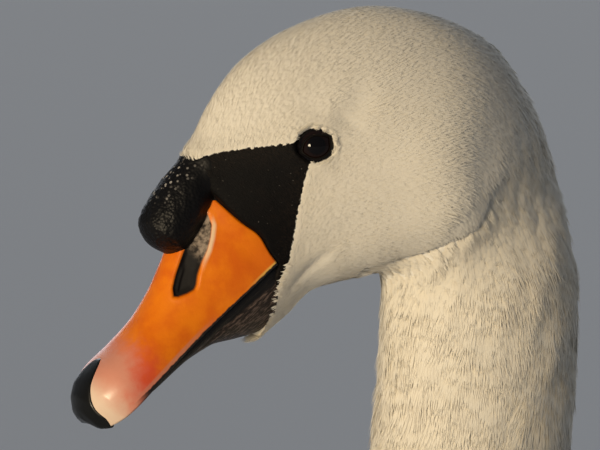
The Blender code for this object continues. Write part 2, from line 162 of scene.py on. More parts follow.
# Quills: count, first and last turn round the wing, where the tips end (y), length, width, height.
WING_QUILLS = {
    "primaries": (17, -58, 215, 345, 459, 190, 20, 0.3),
    "secondaries": (13, -58, 24, 205, 335, 180, 40, 2.2),
    "tertials": (17, 14, 212, 345, 290, 215, 42, 3.4),
}

# Outlines of spikes and feathers before their tips: share of the length, share of the width.
SPIKE, BENT_SPIKE = ((0.0, 1.0),), ((0.0, 0.75), (0.5, 1.0))
VANE = ((0.0, 0.30), (0.3, 0.85), (0.6, 1.0), (0.8, 0.90), (0.92, 0.64), (0.98, 0.32))
BLADE = (
    (0.0, 0.5), (0.2, 0.8), (0.42, 1.0), (0.62, 1.0), (0.78, 0.94), (0.89, 0.80), (0.955, 0.55),
    (0.99, 0.25),
)
# How far the skin lies below the outer shape, at places along the body.
COAT_PLACES = (0, 3, 7.5, 8.5, 11, 12.5, 16, 20, 33, 37)
COAT_DEPTHS = (0.4, 0.42, 0.42, 0.44, 0.6, 1.0, 3.2, 6, 5, 3)
BARE_DEPTH = 0.25

COLUMNS = 168  # of the skin's grid, round the body
LEAST_STEP = 0.2  # between the grid's points, where they crowd
SPREAD = (0.7548776662466927, 0.5698402909980532)  # steps that spread points evenly over a square
PATCH = 0.003  # of the baked map, for each feather
SIDES = ((1, "left"), (-1, "right"))

DOWN_WARM, DOWN_PALE = (0.83, 0.76, 0.62), (0.91, 0.87, 0.78)
BODY_WARM, BODY_PALE = (0.86, 0.81, 0.70), (0.93, 0.91, 0.85)
BLACK_SKIN = (0.0035, 0.0032, 0.0034)


def spline(table, place):
    """Rows of a table read at fractional places, on smooth curves through its rows."""
    table = np.asarray(table, float)
    padded = np.vstack([table[:1], table, table[-1:]])
    place = np.asarray(place, float)
    row = np.clip(place.astype(int), 0, len(table) - 2)
    t = (place - row)[..., None]
    a, b, c, d = (padded[row + k] for k in range(4))
    turn = 3 * b - a - 3 * c + d
    return 0.5 * (2 * b + (c - a) * t + (2 * a - 5 * b + 4 * c - d) * t * t + turn * t**3)


def signed_power(value, exponent):
    return np.sign(value) * np.abs(value) ** exponent


def ramp(value, start, end):
    """A smooth rise from 0 at start to 1 at end."""
    t = np.clip((value - start) / (end - start), 0, 1)
    return t * t * (3 - 2 * t)


def hump(value, middle, width):
    """A smooth hump of height 1."""
    return np.exp(-(((value - middle) / width) ** 2))


def unit(vectors):
    return vectors / np.maximum(np.linalg.norm(vectors, axis=-1, keepdims=True), 1e-12)


def swirl(point, size, seed):
    """Smooth noise from -1 to 1 over space, with features about as large as size."""
    total = np.zeros(len(point))
    weights = np.random.default_rng(seed)
    for _ in range(5):
        wave = unit(weights.normal(size=3)) * 2 * np.pi / size * weights.uniform(0.6, 1.5)
        total += np.sin(point @ wave + weights.uniform(0, 6.28))
    return total / 2.6


def edge_distance(y, z, outline):
    """Signed distance in a plane to a closed outline, above zero inside it."""
    outline = np.asarray(outline, float)
    best = np.full(np.shape(y), 1e9)
    inside = np.zeros(np.shape(y), bool)
    for (ay, az), (by, bz) in zip(outline, np.roll(outline, -1, axis=0)):
        dy, dz = by - ay, bz - az
        t = np.clip(((y - ay) * dy + (z - az) * dz) / (dy * dy + dz * dz), 0, 1)
        best = np.minimum(best, np.hypot(y - ay - t * dy, z - az - t * dz))
        crosses = (az > z) != (bz > z)
        inside ^= crosses & (y < ay + (z - az) / (dz if dz else 1e-9) * dy)
    return np.where(inside, best, -best)


def bare_distance(point):
    return edge_distance(point[..., 1], point[..., 2], BARE_EDGE)


def bill_axes(point):
    """How far points lie along the bill from the gape, and up from its edge."""
    c, s = math.cos(BILL_PITCH), math.sin(BILL_PITCH)
    y, z = point[..., 1] - GAPE[0], point[..., 2] - GAPE[1]
    return -y * c - z * s, -y * s + z * c


def bill_place(along, up, side):
    c, s = math.cos(BILL_PITCH), math.sin(BILL_PITCH)
    return np.stack([side, GAPE[0] - along * c - up * s, GAPE[1] - along * s + up * c], -1)


def bill_gap(point):
    """How far points lie ahead of the line where the bill's horn begins; below zero behind it."""
    along, up = bill_axes(point)
    return np.where(up > 0, along + 1.5 * hump(up, *HORN_BACK), (along * JAW_DROP + up * JAW_RUN) / JAW_EDGE)


def knob_distance(point):
    """Distance from the knob's plain surface, above zero outside it."""
    x, y, z = np.moveaxis(point, -1, 0)
    (by, bz, big), (ry, rz, small) = KNOB_BALL, KNOB_ROOT
    dy, dz = ry - by, rz - bz
    t = np.clip(((y - by) * dy + (z - bz) * dz) / (dy * dy + dz * dz), 0, 1)
    gap = np.sqrt((x / KNOB_WIDTH) ** 2 + (y - by - t * dy) ** 2 + (z - bz - t * dz) ** 2)
    return gap - (big + (small - big) * t)


def lift_to_saddle(distance_at, shape):
    """How far a surface is lifted onto the soft saddle that joins it to another. It is solved for in
    steps, since the other surface comes nearer or goes away on the way up."""
    lift = np.zeros(shape)
    for _ in range(10):
        gap = np.maximum(distance_at(lift), SADDLE_GAP)
        joined = np.minimum(-SADDLE_SIZE * np.log(1 - np.exp(-gap / SADDLE_SIZE)), SADDLE_MOST)
        lift = 0.5 * lift + 0.5 * joined
    return lift


def wing_middle(y):
    """x and z of a folded wing's middle, its half width and its half height."""
    return [np.interp(y, WINGS[:, 0], WINGS[:, k]) for k in range(1, 5)]


def wing_swell(y, x, z):
    """Below 1 inside the dome of a folded wing."""
    cx, cz, half_width, half_height = wing_middle(y)
    across, up = np.abs((np.abs(x) - cx) / half_width), np.abs((z - cz) / half_height)
    outside = (y < WINGS[0, 0]) | (y > WING_REAR)
    return np.where(outside, 9.0, across**WING_ROUNDNESS + up**WING_ROUNDNESS)


def body_shape(place, turn):
    """The plumage's outer shape: points at places along the body and turns from the back line."""
    rows = spline(SECTIONS, place)
    back_y, back_z, belly_y, belly_z, half_width, widest, above, below = np.moveaxis(rows, -1, 0)
    rise_y, rise_z = back_y - belly_y, back_z - belly_z
    rise = np.hypot(rise_y, rise_z)
    up_y, up_z = rise_y / rise, rise_z / rise
    waist_y, waist_z = belly_y + rise_y * widest, belly_z + rise_z * widest
    c, s = np.cos(turn), np.sin(turn)
    reach = rise * np.where(c > 0, 1 - widest, widest)
    roundness = np.where(c > 0, above, below)
    x = half_width * signed_power(s, 2 / roundness)
    out = reach * signed_power(c, 2 / roundness)
    # A folded wing stands out from the trunk: look outwards for the last place inside its dome.
    span = np.maximum(np.hypot(x, out), 1)
    winged = (place > TRUNK_START - 1) & (place < TAIL_START + 1)
    grow = np.ones_like(span)
    for step in np.arange(0, 75, 1.5):
        k = 1 + step / span
        inside = wing_swell(waist_y + up_y * out * k, x * k, waist_z + up_z * out * k) < 1
        grow = np.where(inside & winged, k, grow)
    grow = 1 + (soften(grow) - 1) * ramp(waist_y, 340, 270)
    x, out = x * grow, out * grow
    y, z = waist_y + up_y * out, waist_z + up_z * out
    # The belly lies flat where it meets the floor.
    return np.stack([x, y, 0.5 * (z + np.sqrt(z * z + 4.0))], axis=-1)


def soften(field):
    """A field over (place, turn) blurred a little; the turn wraps round."""
    for _ in range(2):
        field = (np.roll(field, 1, 1) + 2 * field + np.roll(field, -1, 1)) / 4
        field[1:-1] = (field[:-2] + 2 * field[1:-1] + field[2:]) / 4
    return field


def row_places():
    """Places of the skin's rows: close together on the head, wide apart on the body."""
    end = len(SECTIONS) - 1.02
    places = [0.12]
    while places[-1] < end:
        here = places[-1]
        a, b = spline(SECTIONS, np.array([here, min(here + 0.02, len(SECTIONS) - 1)]))
        speed = max(math.hypot(*(b - a)[:2]), math.hypot(*(b - a)[2:4])) / 0.02
        step = np.interp(here, (0, 3, 9, 14, 19, 24), (0.9, 1.2, 1.4, 2.2, 4.5, 6.5))
        places.append(here + step / speed)
    places[-1] = end
    return np.array(places)


class Shell:
    """The outer shape on a grid, with its outward direction and the lie of the plumage."""

    def __init__(self):
        self.places = row_places()
        turns = np.arange(COLUMNS) * 2 * np.pi / COLUMNS
        self.place, self.turn = np.meshgrid(self.places, turns, indexing="ij")
        self.point = body_shape(self.place, self.turn)
        self.point += self.relief()[..., None] * self.outward()[0]
        self.bald, self.rise = self.point.copy(), self.outward()[0]
        self.point += self.saddle()[..., None] * self.rise
        self.normal, self.along = self.outward()
        self.bare = bare_distance(self.point)
        round_ = np.roll(self.point, -1, 1) - np.roll(self.point, 1, 1)
        self.down_step = np.linalg.norm(np.gradient(self.point, axis=0), axis=-1)
        self.round_step = np.linalg.norm(round_, axis=-1) / 2
        self.area = self.down_step * self.round_step

    def outward(self):
        """Directions out of the surface, and along the body on it."""
        down = np.gradient(self.point, axis=0)
        normal = unit(np.cross(np.roll(self.point, -1, 1) - np.roll(self.point, 1, 1), down))
        spoke = self.point - self.point.mean(axis=1, keepdims=True)
        flip = np.sign((spoke * normal).sum(-1, keepdims=True).mean(axis=1, keepdims=True))
        return normal * np.where(flip == 0, 1, flip), unit(down)

    def relief(self):
        """Swellings and furrows of head and neck, outwards."""
        _, y, z = np.moveaxis(self.point, -1, 0)
        aside = np.abs(np.sin(self.turn))
        # Brim round the eye, and the hollow that the ball stands in.
        away = np.hypot((y - EYE_FRONT[0]) / 1.12, z - EYE_FRONT[1])
        brim = (0.45 - 0.3 * ramp(y, -252.5, -248)) * ramp(away, 12.5, 5.4) * ramp(away, 4.1, 4.9)
        hollow = -3.4 * ramp(away, 4.8, 4.0)
        # Furrow that runs up and back from the eye's rear corner, below the brow.
        rear, up = y - BROW[0], z - BROW[1]
        along, off = np.clip((rear * 0.62 + up * 0.78) / 24, 0, 1), up * 0.62 - rear * 0.78
        furrow = 0.3 * hump(off, 7, 4) - 0.6 * hump(off, 0, 4.5)
        furrow *= ramp(along, 0.10, 0.30) * ramp(along, 1.0, 0.4)
        # Fold behind the corner of the mouth.
        rear, up = y - MOUTH_FOLD[0], z - MOUTH_FOLD[1]
        run, off = (rear * 0.66 + up * 0.75) / 14, up * 0.66 - rear * 0.75 - 0.8
        fold = 0.12 * hump(off, 3.6, 2.6) - 0.5 * hump(off, 0, 1.5)
        fold *= ramp(run, -0.5, 0.1) * ramp(run, 1.25, 0.6)
        # The cheek rounds over into a furrow at the top of the neck.
        self.crease = edge = edge_distance(y, z, CREASE_EDGE)
        before = np.clip(1 + edge / (10 + 9 * ramp(y, -216, -199)), 0, 1) * (edge <= 0)
        over = 1.0 - np.sqrt(np.clip(1 - before**2.2, 0, 1))
        lip = np.where(edge <= 0, 0.9 * ramp(edge, -22, -9) - 3.0 * over, -2.1 * hump(edge, 0, 14))
        lip -= 0.7 * hump(edge, 0, 1.5)
        lip *= aside**0.5 * ramp(np.cos(self.turn), 0.85, 0.35) * ramp(z, 671, 656)
        # The rear of the cheek turns in towards the nape.
        rear = 2.0 * hump(y, -216, 14) * hump(z, 666, 20)
        rear -= 8.5 * ramp(y, -220, -162) * ramp(self.place, 5, 7) * ramp(self.place, 10.5, 8.5)
        # Soft waves down the neck.
        waves = 0.2 * swirl(self.point.reshape(-1, 3) * (1, 1, 1.5), 12, 11).reshape(y.shape)
        waves *= ramp(self.place, 6.8, 8.5) * ramp(self.place, 14, 12)
        head = brim + hollow + furrow + fold + lip + rear * aside
        return np.where(self.place < 11.5, head, 0) + waves

    def saddle(self):
        """How far the head swells towards the root of the knob."""
        rows = int((self.place[:, 0] < 3).sum())
        point, out = self.bald[:rows], self.rise[:rows]
        lift = lift_to_saddle(lambda lift: knob_distance(point + out * lift[..., None]), point.shape[:2])
        lift -= 0.3 * ramp(lift, 1.8, 2.6) * ramp(bare_distance(point), -1.5, -0.2)
        whole = np.zeros(self.place.shape)
        whole[:rows] = lift * ramp(bill_gap(point), -0.3, -4.0) * ramp(self.place[:rows], 3, 2.4)
        return whole

    def read(self, field, row, column):
        """A field read between the grid's places."""
        r0 = np.clip(row.astype(int), 0, len(self.places) - 2)
        c0 = np.floor(column).astype(int)
        fr, fc = row - r0, column - c0
        c0 = c0 % COLUMNS
        c1 = (c0 + 1) % COLUMNS
        if field.ndim == 3:
            fr, fc = fr[:, None], fc[:, None]
        upper, lower = (field[r, c0] * (1 - fc) + field[r, c1] * fc for r in (r0, r0 + 1))
        return upper * (1 - fr) + lower * fr

    def step(self, row, column, angle, distance):
        """Grid places at a distance over the surface, turned by an angle from the lie of the plumage."""
        row = row + np.cos(angle) * distance / np.maximum(self.read(self.down_step, row, column), LEAST_STEP)
        beside = np.maximum(self.read(self.round_step, row, column), LEAST_STEP)
        column = column + np.sin(angle) * distance / beside
        return self.on_grid(row), column

    def on_grid(self, row):
        return np.clip(row, 0, len(self.places) - 1.01)

    def scatter(self, weight, count):
        """Well-spread grid places, as many for each area as its weight says."""
        mass = self.area * weight
        by_row = np.concatenate([[0], np.cumsum(mass.sum(axis=1))])
        u, v = ((0.5 + np.arange(count) * step) % 1 for step in SPREAD)
        row = np.interp(u, by_row / by_row[-1], np.arange(len(by_row)))
        row = np.clip(row - 0.5, 0, len(self.places) - 1.001)
        cells = np.cumsum(mass, axis=1)
        cells /= np.maximum(cells[:, -1:], 1e-12)
        nearest = np.clip(np.rint(row).astype(int), 0, len(self.places) - 1)
        column = np.empty(count)
        for r in np.unique(nearest):
            chosen = nearest == r
            column[chosen] = np.interp(v[chosen], [0, *cells[r]], np.arange(COLUMNS + 1)) - 0.5
        return row, column % COLUMNS

    def roots(self, weight, count, shift, keep, rng):
        """Where feathers grow: grid places moved by chance, kept where the weight is above keep."""
        row, column = self.scatter(weight, count)
        row = self.on_grid(row + rng.normal(0, shift[0], count))
        column = column + rng.normal(0, shift[1], count)
        kept = self.read(weight, row, column) > keep
        return row[kept], column[kept]

    def root_facts(self, row, column):
        """Place along the body, turn round it, point, and place on the baked map."""
        place = self.read(self.place, row, np.floor(column))
        turn = (column % COLUMNS) / COLUMNS * 2 * np.pi
        return place, turn, self.read(self.point, row, column), map_place(spread_out(turn), spread_out(place))


def spread_out(values):
    return 0.02 + 0.96 * (values - values.min()) / np.ptp(values)


def map_place(u, v):
    return np.stack([u, v], -1)


def coat_depth(place, bare):
    """How far the skin lies below the outer shape; bare is how far a point lies inside the bare skin."""
    return BARE_DEPTH + (np.interp(place, COAT_PLACES, COAT_DEPTHS) - BARE_DEPTH) * ramp(bare, 0.5, -3.0)


# ---------------------------------------------------------------- meshes


def finish_piece(mesh, material, nodes=()):
    piece = bpy.data.objects.new(mesh.name, mesh)
    bpy.context.scene.collection.objects.link(piece)
    mesh.materials.append(material)
    mesh.shade_smooth()
    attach(piece, "root")
    if nodes:
        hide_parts(*nodes)
    return piece


def set_fields(mesh, fields):
    for name, values in fields.items():
        layer = mesh.attributes.new(name, "FLOAT", "POINT")
        layer.data.foreach_set("value", np.ravel(values).astype(np.float32))


def sheet_mesh(name, rows, columns, place_of, fields=None, closed=True):
    """A grid of rows by columns whose points place_of sets, closed into a tube with its ends filled."""
    shape = bmesh.new()
    shape.loops.layers.uv.new("UVMap")
    bmesh.ops.create_grid(shape, x_segments=columns, y_segments=rows, size=0.5, calc_uvs=True)
    mesh = bpy.data.meshes.new(name)
    shape.to_mesh(mesh)
    shape.free()
    u, v = np.array([vert.co[:2] for vert in mesh.vertices]).T + 0.5
    points = place_of(v, u)
    mesh.vertices.foreach_set("co", (points * MM).ravel())
    set_fields(mesh, fields(v, u, points) if fields else {})
    shape = bmesh.new()
    shape.from_mesh(mesh)
    if closed:
        bmesh.ops.remove_doubles(shape, verts=shape.verts, dist=2e-6)
        bmesh.ops.holes_fill(shape, edges=[e for e in shape.edges if e.is_boundary], sides=0)
        bmesh.ops.recalc_face_normals(shape, faces=shape.faces)
    shape.to_mesh(mesh)
    shape.free()
    return mesh


def coat_piece(name, template, points, fields, patch, soft, material):
    """One joined mesh of feathers or spikes: for each, a row of points, of places on the baked map and
    of directions that its upper faces shade along. Undersides shade the other way."""
    _, _, _, faces, under = template
    count, each = points.shape[:2]
    triangles = (faces[None] + (np.arange(count) * each)[:, None, None]).reshape(-1, 3)
    mesh = bpy.data.meshes.new(name)
    mesh.vertices.add(count * each)
    mesh.vertices.foreach_set("co", (points * MM).astype(np.float32).ravel())
    mesh.loops.add(triangles.size)
    mesh.loops.foreach_set("vertex_index", triangles.astype(np.int32).ravel())
    mesh.polygons.add(len(triangles))
    mesh.polygons.foreach_set("loop_start", np.arange(0, triangles.size, 3, dtype=np.int32))
    mesh.update(calc_edges=True)
    set_fields(mesh, {key: np.broadcast_to(value, (count, each)) for key, value in fields.items()})
    layer = mesh.uv_layers.new(name="OFBake")
    layer.data.foreach_set("uv", patch.reshape(-1, 2)[triangles.ravel()].astype(np.float32).ravel())
    mesh.shade_smooth()
    corners = unit(soft.reshape(-1, 3))[triangles.ravel()].reshape(count, -1, 3, 3)
    corners[:, under] *= -1
    mesh.normals_split_custom_set(corners.reshape(-1, 3))
    return finish_piece(mesh, material)


# ---------------------------------------------------------------- plumage


def spike_template(rings):
    """A slim three-sided spike: places along it, across it and above it, and its triangles."""
    along = np.append(np.repeat([t for t, _ in rings], 3), 1.0)
    across = np.append(np.outer([width for _, width in rings], (-0.5, 0.5, 0.0)), 0.0)
    above = np.append(np.outer([width for _, width in rings], (0.0, 0.0, 0.5)), 0.0)
    faces, under = [(0, 2, 1)], [True]
    last = 3 * (len(rings) - 1)
    for k in range(3):
        n = (k + 1) % 3
        for low in range(0, last, 3):
            faces += [(low + k, low + n, low + 3 + n), (low + k, low + 3 + n, low + 3 + k)]
        faces.append((last + k, last + n, last + 3))
        under += [k == 0] * (len(faces) - len(under))
    return along, across, above, np.array(faces), np.array(under)


def grow_spikes(name, rings, base, axes, sizes, lean, tone, bake, material, round_=0.25):
    """Spikes at base points. axes are their unit directions out, along and to the side; sizes are length,
    width, thickness, lift, droop and bend; lean tilts each spike's shading to the side."""
    template = spike_template(rings)
    t, across, above = (value[None, :] for value in template[:3])
    out, lie, side = (direction[:, None, :] for direction in axes)
    length, width, thick, lift, droop, bend = (value[:, None] for value in sizes)
    sway = width * across + length * bend * t * t
    rise = length * (lift * t - droop * t * t) + thick * above
    points = base[:, None, :] + lie * (length * t)[..., None] + side * sway[..., None] + out * rise[..., None]
    patch = bake[:, None, :] + map_place(across, t - 0.5) * PATCH
    soft = out + side * (lean[:, None] + round_ * across)[..., None]
    soft = soft + lie * (0.64 * round_ * (t - 0.35))[..., None]
    return coat_piece(name, template, points, {"tone": tone[:, None], "tip": t}, patch, soft, material)


def vane_piece(name, profile, lines, width, tone, bake, material, cup=0.05, thick=0.02, tilt=0.0, curl=0.35):
    """Whole feathers. lines are centre, side and out, each with a point for each ring and the tip; tilt
    lifts one edge over the next feather, and curl is how round the vane is shaded across."""
    template = spike_template([(t, 1.0) for t, _ in profile])
    along, across, above = template[:3]
    ring = np.append(np.repeat(np.arange(len(profile)), 3), len(profile))
    centre, side, out = (line[:, ring] for line in lines)
    share = np.array([value for _, value in profile] + [0.0])[ring]
    half = width[:, None] * share * across
    rise = width[:, None] * share * (thick * 2 * above - cup * 4 * across**2)
    rise = rise + tilt * half * np.minimum(1, along * 3)
    points = centre + side * half[..., None] + out * rise[..., None]
    length = np.linalg.norm(centre[:, -1] - centre[:, 0], axis=1)
    barb = length[:, None] * along - np.abs(half) * 1.1
    fields = {"tone": tone[:, None], "tip": along, "barb": barb, "shaft": np.abs(half)}
    patch = bake[:, None, :] + map_place(across, along - 0.5) * PATCH
    soft = out + side * (curl * across)[:, None]
    return coat_piece(name, template, points, fields, patch, soft, material)


def loose_edge(name, lines, length, width, tone, bake, material, fringe, rng, reach=(0.14, 0.24)):
    """Loose barbs round the tips of feathers, each laid out from the edge of its vane."""
    centre, side, out = lines
    n = len(centre) * fringe
    s = np.tile((np.arange(fringe) + 0.5) / fringe * 2 - 1, len(centre)) + rng.normal(0, 0.06, n)
    t = np.clip(0.93 - 0.22 * s * s, 0.5, 0.97)
    known = np.array([t for t, _ in VANE] + [1.0])
    k = np.clip(np.searchsorted(known, t) - 1, 0, len(known) - 2)
    f = ((t - known[k]) / (known[k + 1] - known[k]))[:, None]
    owner = np.repeat(np.arange(len(centre)), fringe)
    middle = centre[owner, k] * (1 - f) + centre[owner, k + 1] * f
    out, side, width = out[owner, k + 1], side[owner, k + 1], width[owner]
    lie = unit(centre[owner, -1] - centre[owner, -3])
    half = width * 0.5 * np.interp(t, known, [v for _, v in VANE] + [0.25])
    base = middle + side * (half * s * 0.9)[:, None] - out * (width * 0.06 * s * s - 0.12)[:, None]
    long, wide, flat = length[owner] * rng.uniform(*reach, n), width / fringe * 0.95, np.zeros(n)
    sizes = (long, wide, wide * 0.08, flat + 0.02, flat, rng.normal(0, 0.08, n))
    axes = (out, *turned(lie, side, s * 0.75))
    grow_spikes(name + "_fringe", SPIKE, base, axes, sizes, flat, tone[owner], bake[owner], material)


def turned(lie, side, angle):
    """The lie of the plumage turned by an angle over the surface, with its new side."""
    c, s = np.cos(angle)[:, None], np.sin(angle)[:, None]
    return lie * c + side * s, side * c - lie * s


def tones(rng, count, spread=0.10, drift=0.0):
    """How pale each feather is, from 0 to 1."""
    return np.clip(0.5 + drift + rng.normal(0, spread, count), 0, 1)


def contour_feathers(shell, name, weight, count, measures, material, seed, fringe=5):
    """Rounded body feathers laid over one another from neck to tail, each with a loose edge of barbs."""
    rng = np.random.default_rng(seed)
    row, column = shell.roots(weight, count, (0.6, 0.5), 0.3, rng)
    place, turn, point, bake = shell.root_facts(row, column)
    length, width, sink = measures(place, turn, point)
    n = len(row)
    length, width = length * rng.uniform(0.88, 1.12, n), width * rng.uniform(0.9, 1.1, n)
    sink, rise = 0.75 * sink, rng.uniform(0, 0.5, n)
    angle = 0.14 * swirl(point, 110, seed + 1) + rng.normal(0, 0.06, n)
    # A feather's root lies its own length up from where its tip shows.
    row, column = shell.step(row, column, angle, -0.55 * length)
    centre, outs, last = [], [], 0.0
    for t in [t for t, _ in VANE] + [1.0]:
        row, column = shell.step(row, column, angle, length * (t - last))
        last = t
        outs.append(unit(shell.read(shell.normal, row, column)))
        height = -sink + (sink + rise) * t**0.8
        centre.append(shell.read(shell.point, row, column) + outs[-1] * height[:, None])
    lines = feather_lines(np.stack(centre, 1), np.stack(outs, 1))
    tone = tones(rng, n, drift=0.2 * swirl(point, 60, seed + 2))
    vane_piece(name, VANE, lines, width, tone, bake, material)
    loose_edge(name, lines, length, width, tone, bake, material, fringe, rng)


def feather_lines(centre, out):
    """Centre lines of feathers with their directions to the side and outwards."""
    return centre, unit(np.cross(out, unit(np.gradient(centre, axis=1)))), out


def locks(shell, name, weight, count, barbs, measures, material, seed, lump, ruffle, soft, pale=0.5):
    """Small soft feathers, each a lock of spikes from one root, over the part of the shell with weight.
    lump, ruffle and soft say how much locks differ in shading, in lift and in roundness and tone."""
    rng = np.random.default_rng(seed)
    row, column = shell.roots(weight, count, (0.35, 0.35), 0.25, rng)
    place, turn, point, bake = shell.root_facts(row, column)
    out, lie = unit(shell.read(shell.normal, row, column)), unit(shell.read(shell.along, row, column))
    width, length, lift, sink = measures(place, turn, shell.read(shell.bare, row, column), point, rng)
    n = len(point)
    angle = 0.16 * swirl(point, 30, seed + 1) + rng.normal(0, 0.10, n)
    lie, side = turned(lie, unit(np.cross(out, lie)), angle)
    # Locks bunch a little: those that share a hollow stand alike.
    lift = lift * (1 + ruffle * (0.7 * swirl(point, 7, seed + 2) + rng.normal(0, 0.5, n)))
    tone = np.clip(pale + soft * (0.9 * swirl(point, 16, seed + 3) + rng.normal(0, 0.7, n)), 0, 1)
    base = point - out * sink[:, None]
    base, out, lie, side, width, length, lift, tone, bake = (
        np.repeat(value, barbs, axis=0) for value in (base, out, lie, side, width, length, lift, tone, bake)
    )
    n *= barbs
    spread = np.tile(np.arange(barbs) / (barbs - 1) - 0.5, len(point))
    base = base + side * (spread * width * 0.75)[:, None]
    base += out * (width * 1.1 * soft * (1 - 4 * spread**2))[:, None]
    base -= lie * (length * rng.uniform(0, 0.12, n))[:, None]
    length = length * (1 - 0.9 * spread**2) * rng.uniform(0.86, 1.12, n)
    slim = width / barbs * 2.4
    sizes = (length, slim, slim * soft * 0.9, lift, np.zeros(n), spread * 0.22 + rng.normal(0, 0.035, n))
    tone = np.clip(tone + soft * rng.normal(0, 0.2, n), 0, 1)
    grow_spikes(name, SPIKE, base, (out, lie, side), sizes, spread * 2 * lump, tone, bake, material, soft)


def chin_fringe(shell, material, seed, count=210):
    """Short stiff feathers that point forward over the bare skin of the lower jaw."""
    rng = np.random.default_rng(seed)
    y, z = shell.point[..., 1], shell.point[..., 2]
    row, column = shell.scatter(hump(shell.bare, -1.1, 0.45) * (z < 640) * (y < -255), count)
    _, turn, point, bake = shell.root_facts(row, column)
    out = unit(shell.read(shell.normal, row, column))
    under = hump(turn, np.pi, 0.3)
    below = under[:, None]
    forward = np.array([0, -0.98, 0.12]) * (1 - below) + np.array([0, -0.97, -0.2]) * below
    lie = unit(forward - out * (forward * out).sum(-1, keepdims=True) * (1 - below))
    axes = (out, *turned(lie, unit(np.cross(out, lie)), rng.normal(0, 0.12, count)))
    length = (2.4 + 2.2 * under) * rng.uniform(0.75, 1.25, count)
    width = 0.42 * rng.uniform(0.8, 1.3, count)
    lift, bend = (0.75 - 0.7 * under) / length, rng.normal(0, 0.06, count)
    lean, tone = rng.normal(0, 0.2, count), rng.uniform(0.4, 0.7, count)
    sizes = (length, width, width * 0.5, lift, np.zeros(count), bend)
    grow_spikes("chin_fringe", BENT_SPIKE, point + out * 0.1, axes, sizes, lean, tone, bake, material, 0.3)


def strays(turn, rng):
    """How much further a lock stands off the surface: a few do, along the nape and the throat."""
    loose = rng.random(len(turn)) < 0.16
    return loose * ramp(np.abs(np.sin(turn)), 0.62, 0.3) * rng.uniform(0.3, 0.9, len(turn))


def head_measures(place, turn, bare, point, rng):
    """Width, length, lift and sink of the locks on the head."""
    n = len(place)
    eye_gap = np.hypot(point[:, 1] - EYE_FRONT[0], point[:, 2] - EYE_FRONT[1])
    fine = np.minimum(ramp(-bare, -0.5, 9), ramp(eye_gap, 4, 16))
    back = ramp(place, 4.5, 8)
    width = (0.7 + 0.9 * fine + 0.8 * back) * rng.uniform(0.8, 1.2, n)
    length = (2.2 + 2.4 * fine + 1.6 * back) * rng.uniform(0.8, 1.2, n)
    sink = coat_depth(place, bare) + 0.05
    return width, length, (sink + 0.04 + back * strays(turn, rng)) / length, sink


def neck_measures(place, turn, bare, point, rng):
    n = len(place)
    nape = ramp(np.cos(turn), -0.2, 0.8)
    low = ramp(place, 7.6, 12)
    width = (1.9 + 2.1 * low + 0.8 * nape) * rng.uniform(0.8, 1.25, n)
    length = (4.6 + 4.2 * low + 1.6 * nape) * rng.uniform(0.85, 1.2, n)
    sink = coat_depth(place, bare)
    lift = (sink + 0.07 + 0.2 * nape + strays(turn, rng)) / length * rng.uniform(0.9, 1.1, n)
    return width, length, lift, sink


def throat_measures(place, turn, point):
    """Length, width and sink of the feathers on the throat."""
    low = ramp(place, NECK_END, TRUNK_START)
    return 13 + 15 * low, 7.5 + 10 * low, 2.2 + 1.6 * low


def trunk_measures(place, turn, point):
    rear = ramp(place, 21, 30)
    belly = ramp(point[:, 2], 60, 15)
    shoulder = ramp(np.cos(turn), 0.55, 0.85) * ramp(place, 21.5, 24)
    length = 30 + 14 * rear - 6 * belly + 24 * shoulder
    return length, 20 + 7 * rear - 3 * belly + 8 * shoulder, 3.5 + 1.0 * rear - 1.5 * belly + shoulder


def rump_measures(place, turn, point):
    return 46, 26, 3 + 0 * place


def wing_surface(sign, y, turn, proud):
    """Points and outward directions on the dome of a folded wing; turn 0 is outwards, 90 degrees up."""
    cx, cz, half_width, half_height = wing_middle(y)
    proud = np.maximum(proud, 1.5 - np.minimum(half_width, half_height))
    c, s = np.cos(turn), np.sin(turn)
    x = cx + (half_width + proud) * signed_power(c, 2 / WING_ROUNDNESS)
    z = cz + (half_height + proud) * signed_power(s, 2 / WING_ROUNDNESS)
    out = np.stack([sign * c / half_width, 0 * c, s / half_height], -1)
    return np.stack([sign * x, y, z], -1), unit(out)


